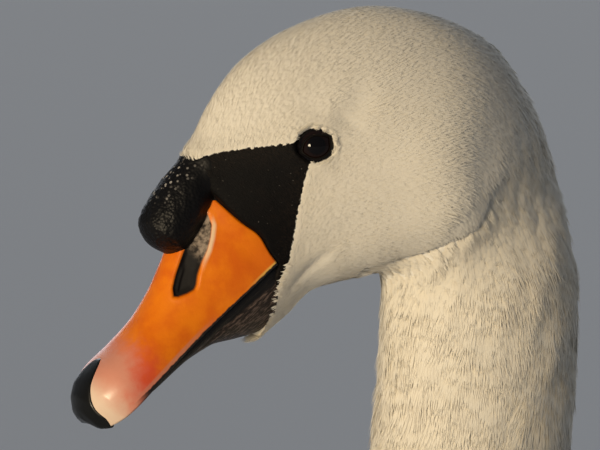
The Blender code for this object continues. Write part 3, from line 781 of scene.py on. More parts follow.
def wing_coverts(sign, side, material, seed):
    """Rows of coverts over a folded wing, small at the shoulder and long before the quills."""
    rng = np.random.default_rng(seed)
    # Distance over the top of the wing from its front end, and the y that goes with it.
    arc_y = np.linspace(WINGS[0, 0], WINGS[-1, 0], 400)
    arc_radius = np.interp(arc_y, WINGS[:, 0], (WINGS[:, 3] + WINGS[:, 4]) / 2)
    arc = np.append(0, np.cumsum(np.hypot(np.diff(arc_y), np.diff(arc_radius))))
    rings = np.array([t for t, _ in VANE] + [1.0])
    for tract, (first, last, long, wide, gap, proud) in WING_TRACTS.items():
        start, end = np.interp((first, last), arc_y, arc)
        roots, turns = [], []
        for k, root in enumerate(np.arange(start, end, gap)):
            step = wide * 0.56 / np.interp(root + long * 0.5, arc, arc_radius)
            turns.append(np.arange(-1.45, 2.15, step) + step * 0.5 * (k % 2))
            roots.append(np.full(len(turns[-1]), root))
        root, turn = np.concatenate(roots), np.concatenate(turns)
        n = len(root)
        root = root + rng.uniform(-0.4, 0.4, n) * gap
        turn = turn + rng.normal(0, 0.05, n)
        length = long * rng.uniform(0.86, 1.14, n)
        rise = rng.uniform(0.0, 0.5, n) + proud
        run = length[:, None] * rings
        along = root[:, None] + run
        angle = turn[:, None] - 0.10 * run / np.maximum(np.interp(along, arc, arc_radius), 20)
        height = -2.6 + (2.6 + rise)[:, None] * rings**0.7
        lines = feather_lines(*wing_surface(sign, np.interp(along, arc, arc_y), angle, height))
        tone = tones(rng, n, drift=0.2 * swirl(lines[0][:, 3], 70, seed + 1))
        bake = map_place(0.05 + 0.9 * (turn + 1.5) / 3.8, 0.05 + 0.9 * (root - start) / (end - start + 1))
        facts = (np.full(n, float(wide)), tone, np.clip(bake, 0.01, 0.99), material)
        vane_piece(f"{tract}_{side}", VANE, lines, *facts, cup=0.07)
        loose_edge(f"{tract}_{side}", lines, length, *facts, 9, rng, (0.07, 0.13))


def wing_core(sign, side, material):
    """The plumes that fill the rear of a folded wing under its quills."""

    def place_of(v, u):
        y = 215 + 241 * v
        ends = np.sqrt(np.maximum(1 - np.maximum((v - 0.9) / 0.1, 0) ** 2, 0.003))
        points, _ = wing_surface(sign, y, u * 2 * np.pi, -4.0 - 1.5 * (1 - v))
        x, z, _, _ = wing_middle(y)
        middle = np.stack([sign * x, y, z], -1)
        return middle + (points - middle) * ends[:, None]

    def fields(v, u, points):
        return {"tip": 0.6 + 0 * v, "tone": 0.5 + 0 * v, "barb": points[:, 1] * 0.5, "shaft": 9 + 0 * v}

    finish_piece(sheet_mesh("wing_core_" + side, 60, 40, place_of, fields), material)


def wing_quills(sign, side, material, seed):
    """Tertials, secondaries and primaries of one folded wing, the inner ones on top."""
    rng = np.random.default_rng(seed)
    rings = np.array([t for t, _ in BLADE] + [1.0])
    for group, (count, first, last, near, far, length, width, proud) in WING_QUILLS.items():
        k = np.arange(count) / (count - 1)
        if group == "primaries":
            ends = far - (far - near) * np.abs(2 * k - 1) ** 1.4 + rng.normal(0, 2, count)
            high = proud + 1.6 * (1 - np.abs(2 * k - 1))
        else:
            ends = near + (far - near) * k**0.8 + rng.normal(0, 3, count)
            high = proud + 2.4 * np.sin(np.pi * np.minimum(k, 0.5)) ** 2
        y = (ends - length)[:, None] + length * rings
        turn = np.radians(first + (last - first) * k)[:, None] + 0 * y
        lines = feather_lines(*wing_surface(sign, y, turn, -3.0 + (3.0 + high)[:, None] * rings**0.6))
        widths = width * (1.0 - 0.1 * k)
        tone, bake = tones(rng, count, spread=0.15), map_place(0.05 + 0.9 * k, np.full(count, 0.5))
        shape = {"cup": 0.02, "thick": 0.03, "tilt": -0.075 * sign, "curl": 0.5}
        vane_piece(f"{group}_{side}", BLADE, lines, widths, tone, bake, material, **shape)


def tail_quills(material):
    """The tail's pointed fan, longest in the middle, above and below."""
    rows = np.asarray(SECTIONS[TAIL_START - 1 :], float)
    k = np.linspace(-1, 1, 13)
    reach = np.abs(k)
    start, end = 385 + 12 * reach, 555 - 62 * reach**1.3
    y = start[:, None] + (end - start)[:, None] * np.array([t for t, _ in BLADE] + [1.0])
    half_width = np.interp(y, rows[:, 0], rows[:, 4])
    x = k[:, None] * np.minimum(50, half_width * 0.93)
    top, low = np.interp(y, rows[:, 0], rows[:, 1]), np.interp(y, rows[:, 0], rows[:, 3])
    drop = np.sqrt(np.maximum(1 - (x / (half_width + 3)) ** 2, 0.02))
    for above, name in ((1, "tail_upper"), (-1, "tail_lower")):
        z = (top + low) / 2 + above * ((top - low) / 2 * drop * 0.9 - 0.5 * reach[:, None])
        out = unit(np.stack([x / 300, 0 * x, above + 0 * x], -1))
        lines = feather_lines(np.stack([x, y, z], -1), out)
        widths, tone = np.full(len(k), 19.0), 0.6 - 0.2 * reach
        bake = map_place(0.1 + 0.4 * (k + 1), np.full(len(k), 0.5))
        vane_piece(name, BLADE, lines, widths, tone, bake, material, cup=0.04, thick=0.05)


def plume_body(shell, contour, flight, share):
    """Contour feathers on throat, trunk and rump, and the feathers of wings and tail."""
    x, y, z = np.moveaxis(shell.point, -1, 0)
    off_wing = 1 - ramp(wing_swell(y, x, z), 1.25, 1.02) * ((y > -165) & (y < WING_REAR))

    def lay(name, first, last, count, measures, seed, fringe=5, weight=1):
        weight = side_mask(shell, sign) * weight * ((shell.place > first) & (shell.place < last))
        count, seed = int(count * share), seed + sign
        contour_feathers(shell, f"{name}_{side}", weight, count, measures, contour, seed, fringe)

    for sign, side in SIDES:
        lay("throat", NECK_END - 0.2, TRUNK_START + 0.3, 1500, throat_measures, 50)
        lay("trunk", TRUNK_START - 0.2, TAIL_START + 0.6, 1900, trunk_measures, 54, weight=off_wing)
        wing_coverts(sign, side, flight, 58 + sign)
        wing_core(sign, side, flight)
        lay("rump", TAIL_START - 2.5, TAIL_START + 1.3, 170, rump_measures, 62, fringe=7)
        wing_quills(sign, side, flight, 66 + sign)
    tail_quills(flight)


def side_mask(shell, sign):
    return (np.sin(shell.turn) * sign > 0).astype(float)


def plume_head(shell, down, share):
    """Locks of down over face, cheeks and neck; the side that shows most has more of them."""
    y, z = shell.point[..., 1] - EYE_FRONT[0], shell.point[..., 2] - EYE_FRONT[1]
    rearward, upward = y * 0.96 + z * 0.28, z * 0.96 - y * 0.28
    eye_gap = np.abs(rearward / 5.55) ** 1.7 + np.abs(upward / np.where(upward > 0, 4.2, 4.7)) ** 1.7
    off_eye = np.maximum(ramp(eye_gap ** (1 / 1.7), 0.93, 1.05), shell.place > 5)
    cheek = (shell.crease < 0) & (shell.place < NECK_END - 2) | (shell.place < 5)
    head = ramp(shell.bare, 0.2, -0.5) * off_eye * cheek
    face = shell.place < 4.6
    neck = (shell.crease > -2.6) | (shell.place > NECK_END - 2)
    neck = neck * (shell.place > 5) * (shell.place < NECK_END + 0.3)
    coats = (
        # name, weight, counts left and right, spikes in a lock, measures, seed, lump, ruffle, soft, pale
        ("face", head * face * (0.5 + 0.5 * ramp(-shell.bare, 30, 4)), 13500, 9500, 3, head_measures, 21,
         0.03, 0.04, 0.07, 0.5),
        ("cheek", head * ~face, 13500, 9500, 3, head_measures, 26, 0.04, 0.04, 0.07, 0.5),
        ("neck", neck, 4900, 3400, 9, neck_measures, 31, 0.06, 0.05, 0.08, 0.2),
    )
    for sign, side in SIDES:
        for name, weight, left, right, barbs, measures, seed, *look in coats:
            count = int((left if sign > 0 else right) * share)
            weight = side_mask(shell, sign) * weight
            locks(shell, f"down_{name}_{side}", weight, count, barbs, measures, down, seed + sign, *look)


# ---------------------------------------------------------------- materials


class Wire:
    """A value on its way through a node tree."""

    def __init__(self, tree, socket):
        self.tree, self.socket = tree, socket

    def maths(self, operation, other, clamp=False):
        return self.tree.node("Math", {0: self, 1: other}, operation=operation, use_clamp=clamp)

    def __add__(self, other):
        return self.maths("ADD", other)

    def __sub__(self, other):
        return self.maths("SUBTRACT", other)

    def __mul__(self, other):
        return self.maths("MULTIPLY", other)

    def between(self, low, high, start=0.0, end=1.0, curve="SMOOTHSTEP"):
        """Runs from start, where the value is low, to end, where it is high."""
        inputs = {"Value": self, "From Min": low, "From Max": high, "To Min": start, "To Max": end}
        return self.tree.node("MapRange", inputs, "Result", interpolation_type=curve)


class Tree:
    """A node tree under construction."""

    def __init__(self, tree):
        self.tree = tree

    def put(self, socket, value):
        """Set a socket to a number or a colour, or lead a wire to it."""
        if isinstance(value, Wire):
            self.tree.links.new(value.socket, socket)
        elif isinstance(value, tuple) and len(socket.default_value) > len(value):
            socket.default_value = (*value, 1)
        else:
            socket.default_value = value

    def node(self, kind, inputs, output=0, **settings):
        """Place a node and read one output, or several, by name or number."""
        made = self.tree.nodes.new("ShaderNode" + kind)
        for key, value in settings.items():
            setattr(made, key, value)
        for key, value in inputs.items():
            self.put(made.inputs[key], value)
        if isinstance(output, tuple):
            return [Wire(self, made.outputs[key]) for key in output]
        return Wire(self, made.outputs[output])

    def noise(self, place, scale, detail=3.0, roughness=0.55, distortion=0.0):
        inputs = {"Vector": place, "Scale": scale, "Detail": detail, "Roughness": roughness}
        return self.node("TexNoise", inputs | {"Distortion": distortion}, "Fac")

    def mix(self, factor, first, second):
        return self.node("Mix", {0: factor, 6: first, 7: second}, 2, data_type="RGBA")

    def field(self, name):
        return self.node("Attribute", {}, "Fac", attribute_name=name)

    def effect(self, name, output, **values):
        """Place a shared effect with its own values."""
        inputs = {key.replace("_", " "): value for key, value in values.items()}
        return self.node("Group", inputs, output, node_tree=bpy.data.node_groups[name])

    def stretched(self, place, scale, turn):
        """Coordinates turned about the x axis, then scaled."""
        place = self.node("Mapping", {"Vector": place, "Rotation": (turn, 0, 0)})
        return self.node("Mapping", {"Vector": place, "Scale": scale})


class Finish(Tree):
    """A material under construction, with its shader."""

    def __init__(self, name, colour, roughness, specular=0.5, **sockets):
        self.material = bpy.data.materials.new(name)
        self.material.use_nodes = True
        super().__init__(self.material.node_tree)
        self.shader = self.tree.nodes["Principled BSDF"]
        self.set("Base Color", colour)
        self.set("Roughness", roughness)
        self.set("Specular IOR Level", specular)
        for key, value in sockets.items():
            self.set(key.replace("_", " "), value)

    @property
    def place(self):
        """The object's coordinates, in metres."""
        return self.node("TexCoord", {}, "Object")

    def set(self, key, value):
        self.put(self.shader.inputs[key], value)

    def tint(self, tip, share, warm, pale):
        """The plumage's colour, from warm at the root to pale at the tip."""
        tone = self.field("tone")
        tint = self.effect("plume_tint", 0, Tip=tip, Tone=tone, Tip_Share=share, Warm=warm, Pale=pale)
        self.set("Base Color", tint)
        return tint

    def grain(self, fine, broad, share, strength, distance):
        values = {"Place": self.place, "Fine_Scale": fine, "Broad_Scale": broad, "Broad_Share": share}
        self.bump(self.effect("fine_grain", 0, **values), strength, distance)

    def bump(self, height, strength, distance):
        inputs = {"Height": height, "Strength": strength, "Distance": distance}
        self.set("Normal", self.node("Bump", inputs))


def make_group(fill, inputs, outputs):
    """An effect that several materials share, built once, with the defaults of its inputs."""
    group = bpy.data.node_groups.new(fill.__name__, "ShaderNodeTree")
    for label, value in inputs.items():
        kind = "Vector" if value is None else "Color" if isinstance(value, tuple) else "Float"
        socket = group.interface.new_socket(name=label, in_out="INPUT", socket_type="NodeSocket" + kind)
        if value is not None:
            socket.default_value = value
    for label in outputs:
        kind = "Color" if label == "Colour" else "Float"
        group.interface.new_socket(name=label, in_out="OUTPUT", socket_type="NodeSocket" + kind)
    given, result = group.nodes.new("NodeGroupInput"), group.nodes.new("NodeGroupOutput")
    tree = Tree(group)
    for label, value in zip(outputs, fill(tree, *(Wire(tree, given.outputs[label]) for label in inputs))):
        tree.put(result.inputs[label], value)


def make_shared_effects():
    def plume_tint(tree, tip, tone, share, warm, pale):
        own = tone * tree.node("Math", {0: 1.0, 1: share}, operation="SUBTRACT")
        return [tree.mix((tip * share).maths("ADD", own, clamp=True), warm, pale)]

    def barb_lines(tree, barb, shaft, height):
        line = shaft.between(0.9, 0.35)
        wave = tree.node("Math", {0: barb * 5.2}, operation="SINE")
        return [wave * height + line, line]

    def fine_grain(tree, place, fine, broad, share):
        return [tree.noise(place, fine, 4, 0.6) + tree.noise(place, broad, 2) * share]

    def ragged_edge(tree, place, distance, scale, width):
        return [distance + (tree.noise(place, scale, 2) - 0.5) * width]

    def pebbles(tree, place, scale, grain, share):
        cells = tree.node("TexVoronoi", {"Vector": place, "Scale": scale}, "Distance")
        return [(cells + tree.noise(place, grain, 3) * share) * -1.0]

    at, white = {"Place": None}, (1, 1, 1, 1)
    tint = {"Tip": 0.5, "Tone": 0.5, "Tip Share": 0.5, "Warm": white, "Pale": white}
    grain = {"Fine Scale": 700, "Broad Scale": 160, "Broad Share": 0.8}
    make_group(plume_tint, tint, ["Colour"])
    make_group(barb_lines, {"Barb": 0, "Shaft": 9, "Barb Height": 0.3}, ["Height", "Shaft Line"])
    make_group(fine_grain, at | grain, ["Height"])
    make_group(ragged_edge, at | {"Distance": 0, "Scale": 500, "Width": 1}, ["Distance"])
    make_group(pebbles, at | {"Scale": 900, "Grain Scale": 500, "Grain Share": 0.7}, ["Height"])


def make_down():
    """Soft plumage: pale at the tips, warmer at the roots, each lock a little unlike the next."""
    down = Finish("down", DOWN_PALE, 0.78, 0.25, Sheen_Weight=0.25, Sheen_Roughness=0.5)
    down.tint(down.field("tip").between(0.0, 0.8), 0.45, DOWN_WARM, DOWN_PALE)
    return down.material


def make_feather(name, barb_height):
    """Firm feathers: a faint shaft, fine slanting barbs and a warm tint at the root."""
    vane = Finish(name, BODY_PALE, 0.62, 0.3, Sheen_Weight=0.15, Sheen_Roughness=0.5)
    tint = vane.tint(vane.field("tip").between(0.1, 0.75), 0.5, BODY_WARM, BODY_PALE)
    barb, shaft = vane.field("barb"), vane.field("shaft")
    height, shaft = vane.effect("barb_lines", (0, 1), Barb=barb, Shaft=shaft, Barb_Height=barb_height)
    vane.set("Base Color", vane.mix(shaft * 0.35, tint, (0.72, 0.66, 0.54)))
    vane.bump(height, 0.35, 0.0004)
    return vane.material


def make_skin():
    """Cream skin under the plumage, and wrinkled black skin between eye and bill."""
    skin = Finish("swan_skin", DOWN_PALE, 0.7, 0.10)
    place, bare = skin.place, skin.field("bare")
    edge = skin.effect("ragged_edge", 0, Place=place, Distance=bare, Scale=900, Width=1.6)
    mask = edge.between(-0.15, 0.35)
    fine = skin.noise(skin.stretched(place, (1.0, 1.0, 2.6), 0.6), 900, 4, 0.6, 0.6)
    brown = skin.noise(place, 260, 3).between(0.5, 0.75)
    black = skin.mix(brown * 0.4, BLACK_SKIN, (0.009, 0.006, 0.005))
    rear = bare.between(9, 1) * fine.between(0.4, 0.7)
    black = skin.mix(rear * 0.6, black, (0.020, 0.014, 0.010))
    speck = skin.noise(place, 1500, 1).between(0.76, 0.80)
    black = skin.mix(speck * 0.35, black, (0.35, 0.33, 0.30))
    skin.set("Base Color", skin.mix(mask, DOWN_PALE, black))
    skin.set("Roughness", mask.between(0, 1, 0.85, 0.55))
    skin.bump(fine, 0.5, 0.0006)
    return skin.material


def make_bill_orange():
    """Orange horn that reddens and pales towards the tip, with black edges and a skin-lined nostril whose rim
    is partly a painted highlight and whose deep end is painted shade.
    """
    horn = Finish("bill_orange", (0.80, 0.2, 0.012), 0.38, 0.3, Coat_Weight=0.3, Coat_Roughness=0.2)
    place, along, up, hollow = horn.place, horn.field("along"), horn.field("up"), horn.field("hollow")
    mottle = horn.noise(place, 120, 4)
    far = along + (mottle - 0.5) * 12.0 + (horn.noise(place, 380, 4, 0.65) - 0.5) * 7.0
    slope = up.between(4, 13, 0, 9, "LINEAR")
    # The pale band round the nostril's edge, kept to its middle stretch: partly the rim's own colour, partly
    # a painted highlight.
    rim = hollow.between(-1.5, -0.5) * hollow.between(0.35, -0.1)
    rim = rim * (up + along * 0.55).between(27.5, 25.6) * along.between(20, 13)
    soft = horn.noise(place, 420, 3).between(0.36, 0.66)
    lining_and_painted_shade = horn.mix(soft, (0.022, 0.016, 0.012), (0.34, 0.27, 0.21))
    # Deep in the slot the lining is painted near black: painted shade inside the nostril's opening.
    lining_and_painted_shade = horn.mix(along.between(14.5, 18.5), lining_and_painted_shade, (0.008, 0.007, 0.007))
    lamella = horn.effect("ragged_edge", 0, Place=place, Distance=up, Scale=500, Width=0.8)
    colour = horn.mix(mottle.between(0.32, 0.72), (0.94, 0.235, 0.0), (0.80, 0.150, 0.0))
    for mask, tint in (
        # deeper orange at the rear and yellow at the gape
        (along.between(16, 4) * up.between(15, 6) * 0.55, (0.76, 0.130, 0.0)),
        (along.between(14, 4) * up.between(2.0, 1.2), (0.88, 0.50, 0.10)),
        # red low on the sides, then pink and cream, which reach further back on the ridge
        ((far - slope * 0.25).between(44, 58) * 0.92, (0.78, 0.082, 0.034)),
        ((far + slope).between(55, 69) * 0.85, (0.78, 0.37, 0.26)),
        ((far * 0.35 + along * 0.65).between(63.5, 72.5) * 0.92, (0.86, 0.68, 0.52)),
        (up.between(2.6, 1.7) * far.between(24, 44) * along.between(66, 58) * 0.7, (0.66, 0.27, 0.18)),
        # the nostril's rim, its own pale colour and in part a painted highlight, and its lining, painted near
        # black deep in the slot as shade; the black root and the black edge
        (rim * 0.85, (0.88, 0.66, 0.42)),
        (hollow.between(-0.05, 0.35), lining_and_painted_shade),
        (up.between(27.6, 28.2) * along.between(11, 7), BLACK_SKIN),
        (lamella.between(1.15, 0.75) * along.between(66, 58), (0.015, 0.012, 0.012)),
    ):
        colour = horn.mix(mask, colour, tint)
    horn.set("Base Color", colour)
    inside = hollow.between(-0.3, 0.5)
    horn.set("Coat Weight", inside.between(0, 1, 0.3, 0.0))
    horn.set("Roughness", inside.between(0, 1, 0.38, 0.75))
    horn.grain(700, 160, 0.8, 0.16, 0.0005)
    return horn.material


def make_bill_black():
    nail = Finish("bill_black", (0.006, 0.006, 0.0055), 0.34, 0.25, Coat_Weight=0.12, Coat_Roughness=0.1)
    nail.grain(260, 90, 0.5, 0.15, 0.0005)
    return nail.material


def make_jaw_skin():
    """The lower bill: black horn along its edge, and streaked brown-grey skin between its branches."""
    jaw = Finish("jaw_skin", (0.02, 0.018, 0.017), 0.5, 0.3)
    place, along, up = jaw.place, jaw.field("along"), jaw.field("up")
    ragged = jaw.effect("ragged_edge", 0, Place=place, Distance=up, Scale=420, Width=2.2)
    streaks = jaw.noise(jaw.stretched(place, (1, 0.3, 1.5), -BILL_PITCH), 1100, 3, 0.6)
    skin = jaw.mix(streaks.between(0.42, 0.74), (0.014, 0.010, 0.008), (0.17, 0.118, 0.098))
    below = (ragged + along * -0.06).between(-4.6, -5.6)
    jaw.set("Base Color", jaw.mix(below, (0.007, 0.006, 0.006), skin))
    jaw.bump(streaks, 0.5, 0.0006)
    return jaw.material


def make_knob_skin():
    """Black pebbled skin with whitish scurf towards the forehead."""
    knob = Finish("knob_skin", BLACK_SKIN, 0.46, 0.22)
    place = knob.place
    x, y, z = knob.node("SeparateXYZ", {0: place}, (0, 1, 2))
    pebble = knob.effect("pebbles", 0, Place=place, Scale=950, Grain_Scale=500, Grain_Share=0.7)
    knob.bump(pebble * y.between(-0.2945, -0.2850, 1.0, 0.25), 0.4, 0.0006)
    ridge = knob.node("Math", {0: x}, operation="ABSOLUTE")
    high = z.between(0.6575, 0.6625) * ridge.between(0.0085, 0.0050)
    gap, chance = knob.node("TexVoronoi", {"Vector": place, "Scale": 720}, ("Distance", "Color"))
    flecks = gap.between(0.42, 0.26) * chance.between(0.32, 0.62)
    scurf = flecks * high * knob.noise(place, 240, 2).between(0.30, 0.50)
    knob.set("Base Color", knob.mix(scurf * 0.75, BLACK_SKIN, (0.50, 0.47, 0.44)))
    return knob.material


def make_eye_glass():
    eye = Finish("eye_dark", (0.01, 0.008, 0.007), 0.03, IOR=1.34)
    ring = eye.field("ring")
    iris = ring.between(0.34, 0.38) * ring.between(0.66, 0.60)
    eye.set("Base Color", eye.mix(iris, (0.003, 0.0025, 0.003), (0.010, 0.005, 0.004)))
    return eye.material


def make_lid_skin():
    lid = Finish("lid_skin", BLACK_SKIN, 0.6, 0.1)
    rim = lid.field("rim").between(0.15, 0.4)
    lid.set("Base Color", lid.mix(rim, (0.008, 0.006, 0.005), (0.004, 0.0035, 0.0035)))
    lid.grain(900, 300, 0.4, 0.4, 0.0004)
    return lid.material


def make_leg_skin():
    """Grey-black scaly skin of legs and webs."""
    leg = Finish("leg_skin", (0.035, 0.034, 0.034), 0.5)
    place = leg.place
    patchy = leg.noise(place, 60, 3)
    leg.set("Base Color", leg.mix(patchy, (0.018, 0.018, 0.019), (0.065, 0.060, 0.056)))
    scales = leg.effect("pebbles", 0, Place=place, Scale=420, Grain_Scale=900, Grain_Share=0.1)
    leg.bump(scales, 0.6, 0.0008)
    return leg.material


# ---------------------------------------------------------------- skin, bill, knob and eyes


def make_swan_skin(shell, material):
    depth = coat_depth(shell.place, shell.bare)
    depth += 3.0 * ramp(bill_gap(shell.point), -0.3, 1.0) * (shell.place < 3)
    skin = shell.point - shell.normal * depth[..., None]
    rows = len(shell.places) - 1

    def place_of(v, u):
        return shell.read(skin, v * rows, u * COLUMNS)

    def fields(v, u, points):
        return {"bare": shell.read(shell.bare, v * rows, u * COLUMNS)}

    mesh = sheet_mesh("swan_skin", rows, COLUMNS, place_of, fields)
    nodes = ["head", "neck_upper", "neck_middle", "neck_lower", "trunk", "tail", "wing_left", "wing_right"]
    finish_piece(mesh, material, nodes)


def bill_row(table, along):
    """The columns of a bill's table at places along it."""
    rows = np.asarray(table, float)
    return np.moveaxis(spline(rows, np.interp(along, rows[:, 0], np.arange(len(rows)))), -1, 0)[1:]


def make_upper_bill(material):
    def shape(along, turn, grow=0.0):
        """The surface; turn runs from the left edge (0) over the ridge to the right (pi)."""
        height, half_width, roundness, lowest = bill_row(UPPER_BILL, along)
        side = (half_width + grow) * signed_power(np.cos(turn), 2 / roundness)
        up = (height + grow) * signed_power(np.maximum(np.sin(turn), 0), 2 / roundness)
        return side, up, lowest

    def place_of(v, u):
        along = 0.2 + 77.4 * (1 - (1 - v) ** 1.6)
        round_ = u * 2 * np.pi
        top = round_ <= BILL_TOP
        turn = np.where(top, round_ / BILL_TOP * np.pi, 0)
        _, up, _ = shape(along, turn)
        along = along - 1.6 * hump(up, *HORN_BACK) * ramp(along, 9, 0) * top
        side, up, lowest = shape(along, turn, 0.35 * ramp(along, 6, 0))
        # The floor of the bill closes the shape from edge to edge.
        under = np.clip((round_ - BILL_TOP) / (2 * np.pi - BILL_TOP), 0, 1)
        edge, _, _ = shape(along, np.zeros_like(along))
        side = np.where(top, side, -edge * (1 - 2 * under))
        up = np.where(top, up, 0.8 * np.sin(np.pi * under))
        inside = edge_distance(along, up, NOSTRIL)
        wall = np.abs(side) > 2.5
        deep = ramp(inside, -0.5, 1.5) * wall * (0.7 + 1.9 * ramp(along, 12, 22))
        lip = hump(inside, -0.8, 0.7) * wall
        ledge = hump(inside, 1.3, 0.45) * ramp(along, 20, 24) * wall
        side = side - np.sign(side) * (deep - 0.12 * lip - 0.9 * ledge)
        return bill_place(along, up - 0.35 * deep + lowest + 0.2, side)

    def fields(v, u, points):
        along, up = bill_axes(points)
        return {"hollow": edge_distance(along, up, NOSTRIL), "along": along, "up": up}

    mesh = sheet_mesh("upper_bill", 190, 170, place_of, fields)
    return finish_piece(mesh, material, ["bill_upper"])


def solid_of(piece):
    """A piece's faces, for rays and distances."""
    corners = [vert.co for vert in piece.data.vertices]
    return BVHTree.FromPolygons(corners, [face.vertices for face in piece.data.polygons])


def make_nail(material, bill):
    """The nail follows the tip of the upper bill and stands a little proud of it."""
    surface = solid_of(bill)
    hook = bill_place(-0.55, -0.84, 0) - bill_place(0, 0, 0)

    def place_of(v, u):
        angle, half_width, hooked = spline(NAIL, v * (len(NAIL) - 1)).T
        angle, across = np.radians(angle), 2 * u - 1
        side = half_width * across
        heart, heart_up = NAIL_HEART
        aim = bill_place(heart + 14 * np.cos(angle), heart_up + 14 * np.sin(angle), side * 1.05)
        start = bill_place(np.full_like(side, heart), np.full_like(side, heart_up), side * 0.45)
        rim = np.minimum(np.minimum((1 - abs(across)) * half_width, v * 14), (1 - v) * 9)
        points = hook * np.maximum(hooked, 0)[:, None]
        for k, proud in enumerate(0.75 * ramp(rim, -0.2, 1.2) - 0.35):
            ray = Vector((aim[k] - start[k]) * MM)
            hit, outward, _, _ = surface.ray_cast(Vector(start[k] * MM) + ray * 3, -ray)
            points[k] += np.array(hit) / MM + np.array(outward) * proud
        return points

    mesh = sheet_mesh("nail", 60, 44, place_of, closed=False)
    shape = bmesh.new()
    shape.from_mesh(mesh)
    bmesh.ops.recalc_face_normals(shape, faces=shape.faces)
    top = max(shape.verts, key=lambda vert: vert.co.z)
    if sum(face.normal.z for face in top.link_faces) < 0:
        bmesh.ops.reverse_faces(shape, faces=shape.faces)
    bmesh.ops.solidify(shape, geom=shape.faces[:], thickness=0.0009)
    bmesh.ops.recalc_face_normals(shape, faces=shape.faces)
    shape.to_mesh(mesh)
    shape.free()
    finish_piece(mesh, material, ["bill_nail"])


def make_lower_bill(material):
    def place_of(v, u):
        round_ = u * 2 * np.pi
        low = round_ <= JAW_BELOW
        turn = np.where(low, round_ / JAW_BELOW * np.pi, 0)
        start = np.zeros_like(v)
        for _ in range(6):
            depth, _, roundness = bill_row(LOWER_BILL, start)
            start = depth * np.maximum(np.sin(turn), 0) ** (2 / roundness) * JAW_RUN / JAW_DROP
        along = start - 1.5 + (71.3 - start) * v
        depth, half_width, roundness = bill_row(LOWER_BILL, np.maximum(along, 0))
        side = half_width * signed_power(np.cos(turn), 2 / roundness)
        up = -depth * signed_power(np.maximum(np.sin(turn), 0), 2 / roundness)
        back = np.clip((round_ - JAW_BELOW) / (2 * np.pi - JAW_BELOW), 0, 1)
        side = np.where(low, side, -half_width * (1 - 2 * back))
        up = np.where(low, up, 0)
        groove = hump(up, -3.4, 0.8) * ramp(along, 50, 30)
        return bill_place(along, up - 0.25, side - np.sign(side) * 0.5 * groove)

    def fields(v, u, points):
        along, up = bill_axes(points)
        return {"along": along, "up": up}

    finish_piece(sheet_mesh("lower_bill", 90, 90, place_of, fields), material, ["bill_lower"])


def make_knob(material, shell, bill):
    ball, root = np.array([0, *KNOB_BALL[:2]]), np.array([0, *KNOB_ROOT[:2]])
    axis = unit(root - ball)
    across = np.array([0, -axis[2], axis[1]])
    front = shell.place < 4
    head, rise, first = shell.bald[front], shell.rise[front], shell.place[front] < 0.3
    tree = KDTree(len(head))
    for k, point in enumerate(head):
        tree.insert(point, k)
    tree.balance()
    # The first section faces ahead and down.
    rise_y, rise_z = np.subtract(SECTIONS[0][:2], SECTIONS[0][2:4])
    ahead = unit(np.array([0, -rise_z, rise_y]))
    surface = solid_of(bill)

    def place_of(v, u):
        angle, turn = np.pi * (0.004 + 0.992 * v), u * 2 * np.pi
        share = ramp(angle, 1.0, 2.2)
        radius = KNOB_BALL[2] + (KNOB_ROOT[2] - KNOB_BALL[2]) * share + 0.5 * np.sin(np.pi * share)
        core = ball + (root - ball) * share[:, None]
        out = across * np.cos(turn)[:, None] + np.array([KNOB_WIDTH, 0, 0]) * np.sin(turn)[:, None]
        points = core - axis * (radius * np.cos(angle))[:, None] + out * (radius * np.sin(angle))[:, None]
        rough = (0.16 * swirl(points, 3.2, 5) + 0.10 * swirl(points, 1.7, 6)) * (1 - 0.8 * share)
        away = unit(points - core)

        def head_gap(lift):
            lifted = points + away * lift[:, None]
            near = np.array([tree.find(point)[1] for point in lifted])
            apart = lifted - head[near]
            gap = (apart * rise[near]).sum(-1)
            return np.where(first[near], np.maximum(gap, apart @ ahead), gap)

        swell = lift_to_saddle(head_gap, len(points))
        swell -= 0.3 * ramp(swell, 1.8, 2.6)
        swell *= ramp(bill_gap(points), 1.5, -6.0)
        # It swells too where it comes near the bill, so that both run together.
        gap = np.array([surface.find_nearest(Vector(point * MM))[3] for point in points]) / MM
        swell += BILL_FILLET * np.log1p(np.exp(-np.minimum(gap, 40) / BILL_FILLET))
        seen = points + away * swell[:, None]
        swell -= 0.7 * ramp(bare_distance(seen), 0.3, -0.6) * ramp(swell, 0.5, 1.5)
        return points + out * (rough * np.sin(angle))[:, None] + away * swell[:, None]

    finish_piece(sheet_mesh("knob", 90, 110, place_of), material, ["bill_knob"])


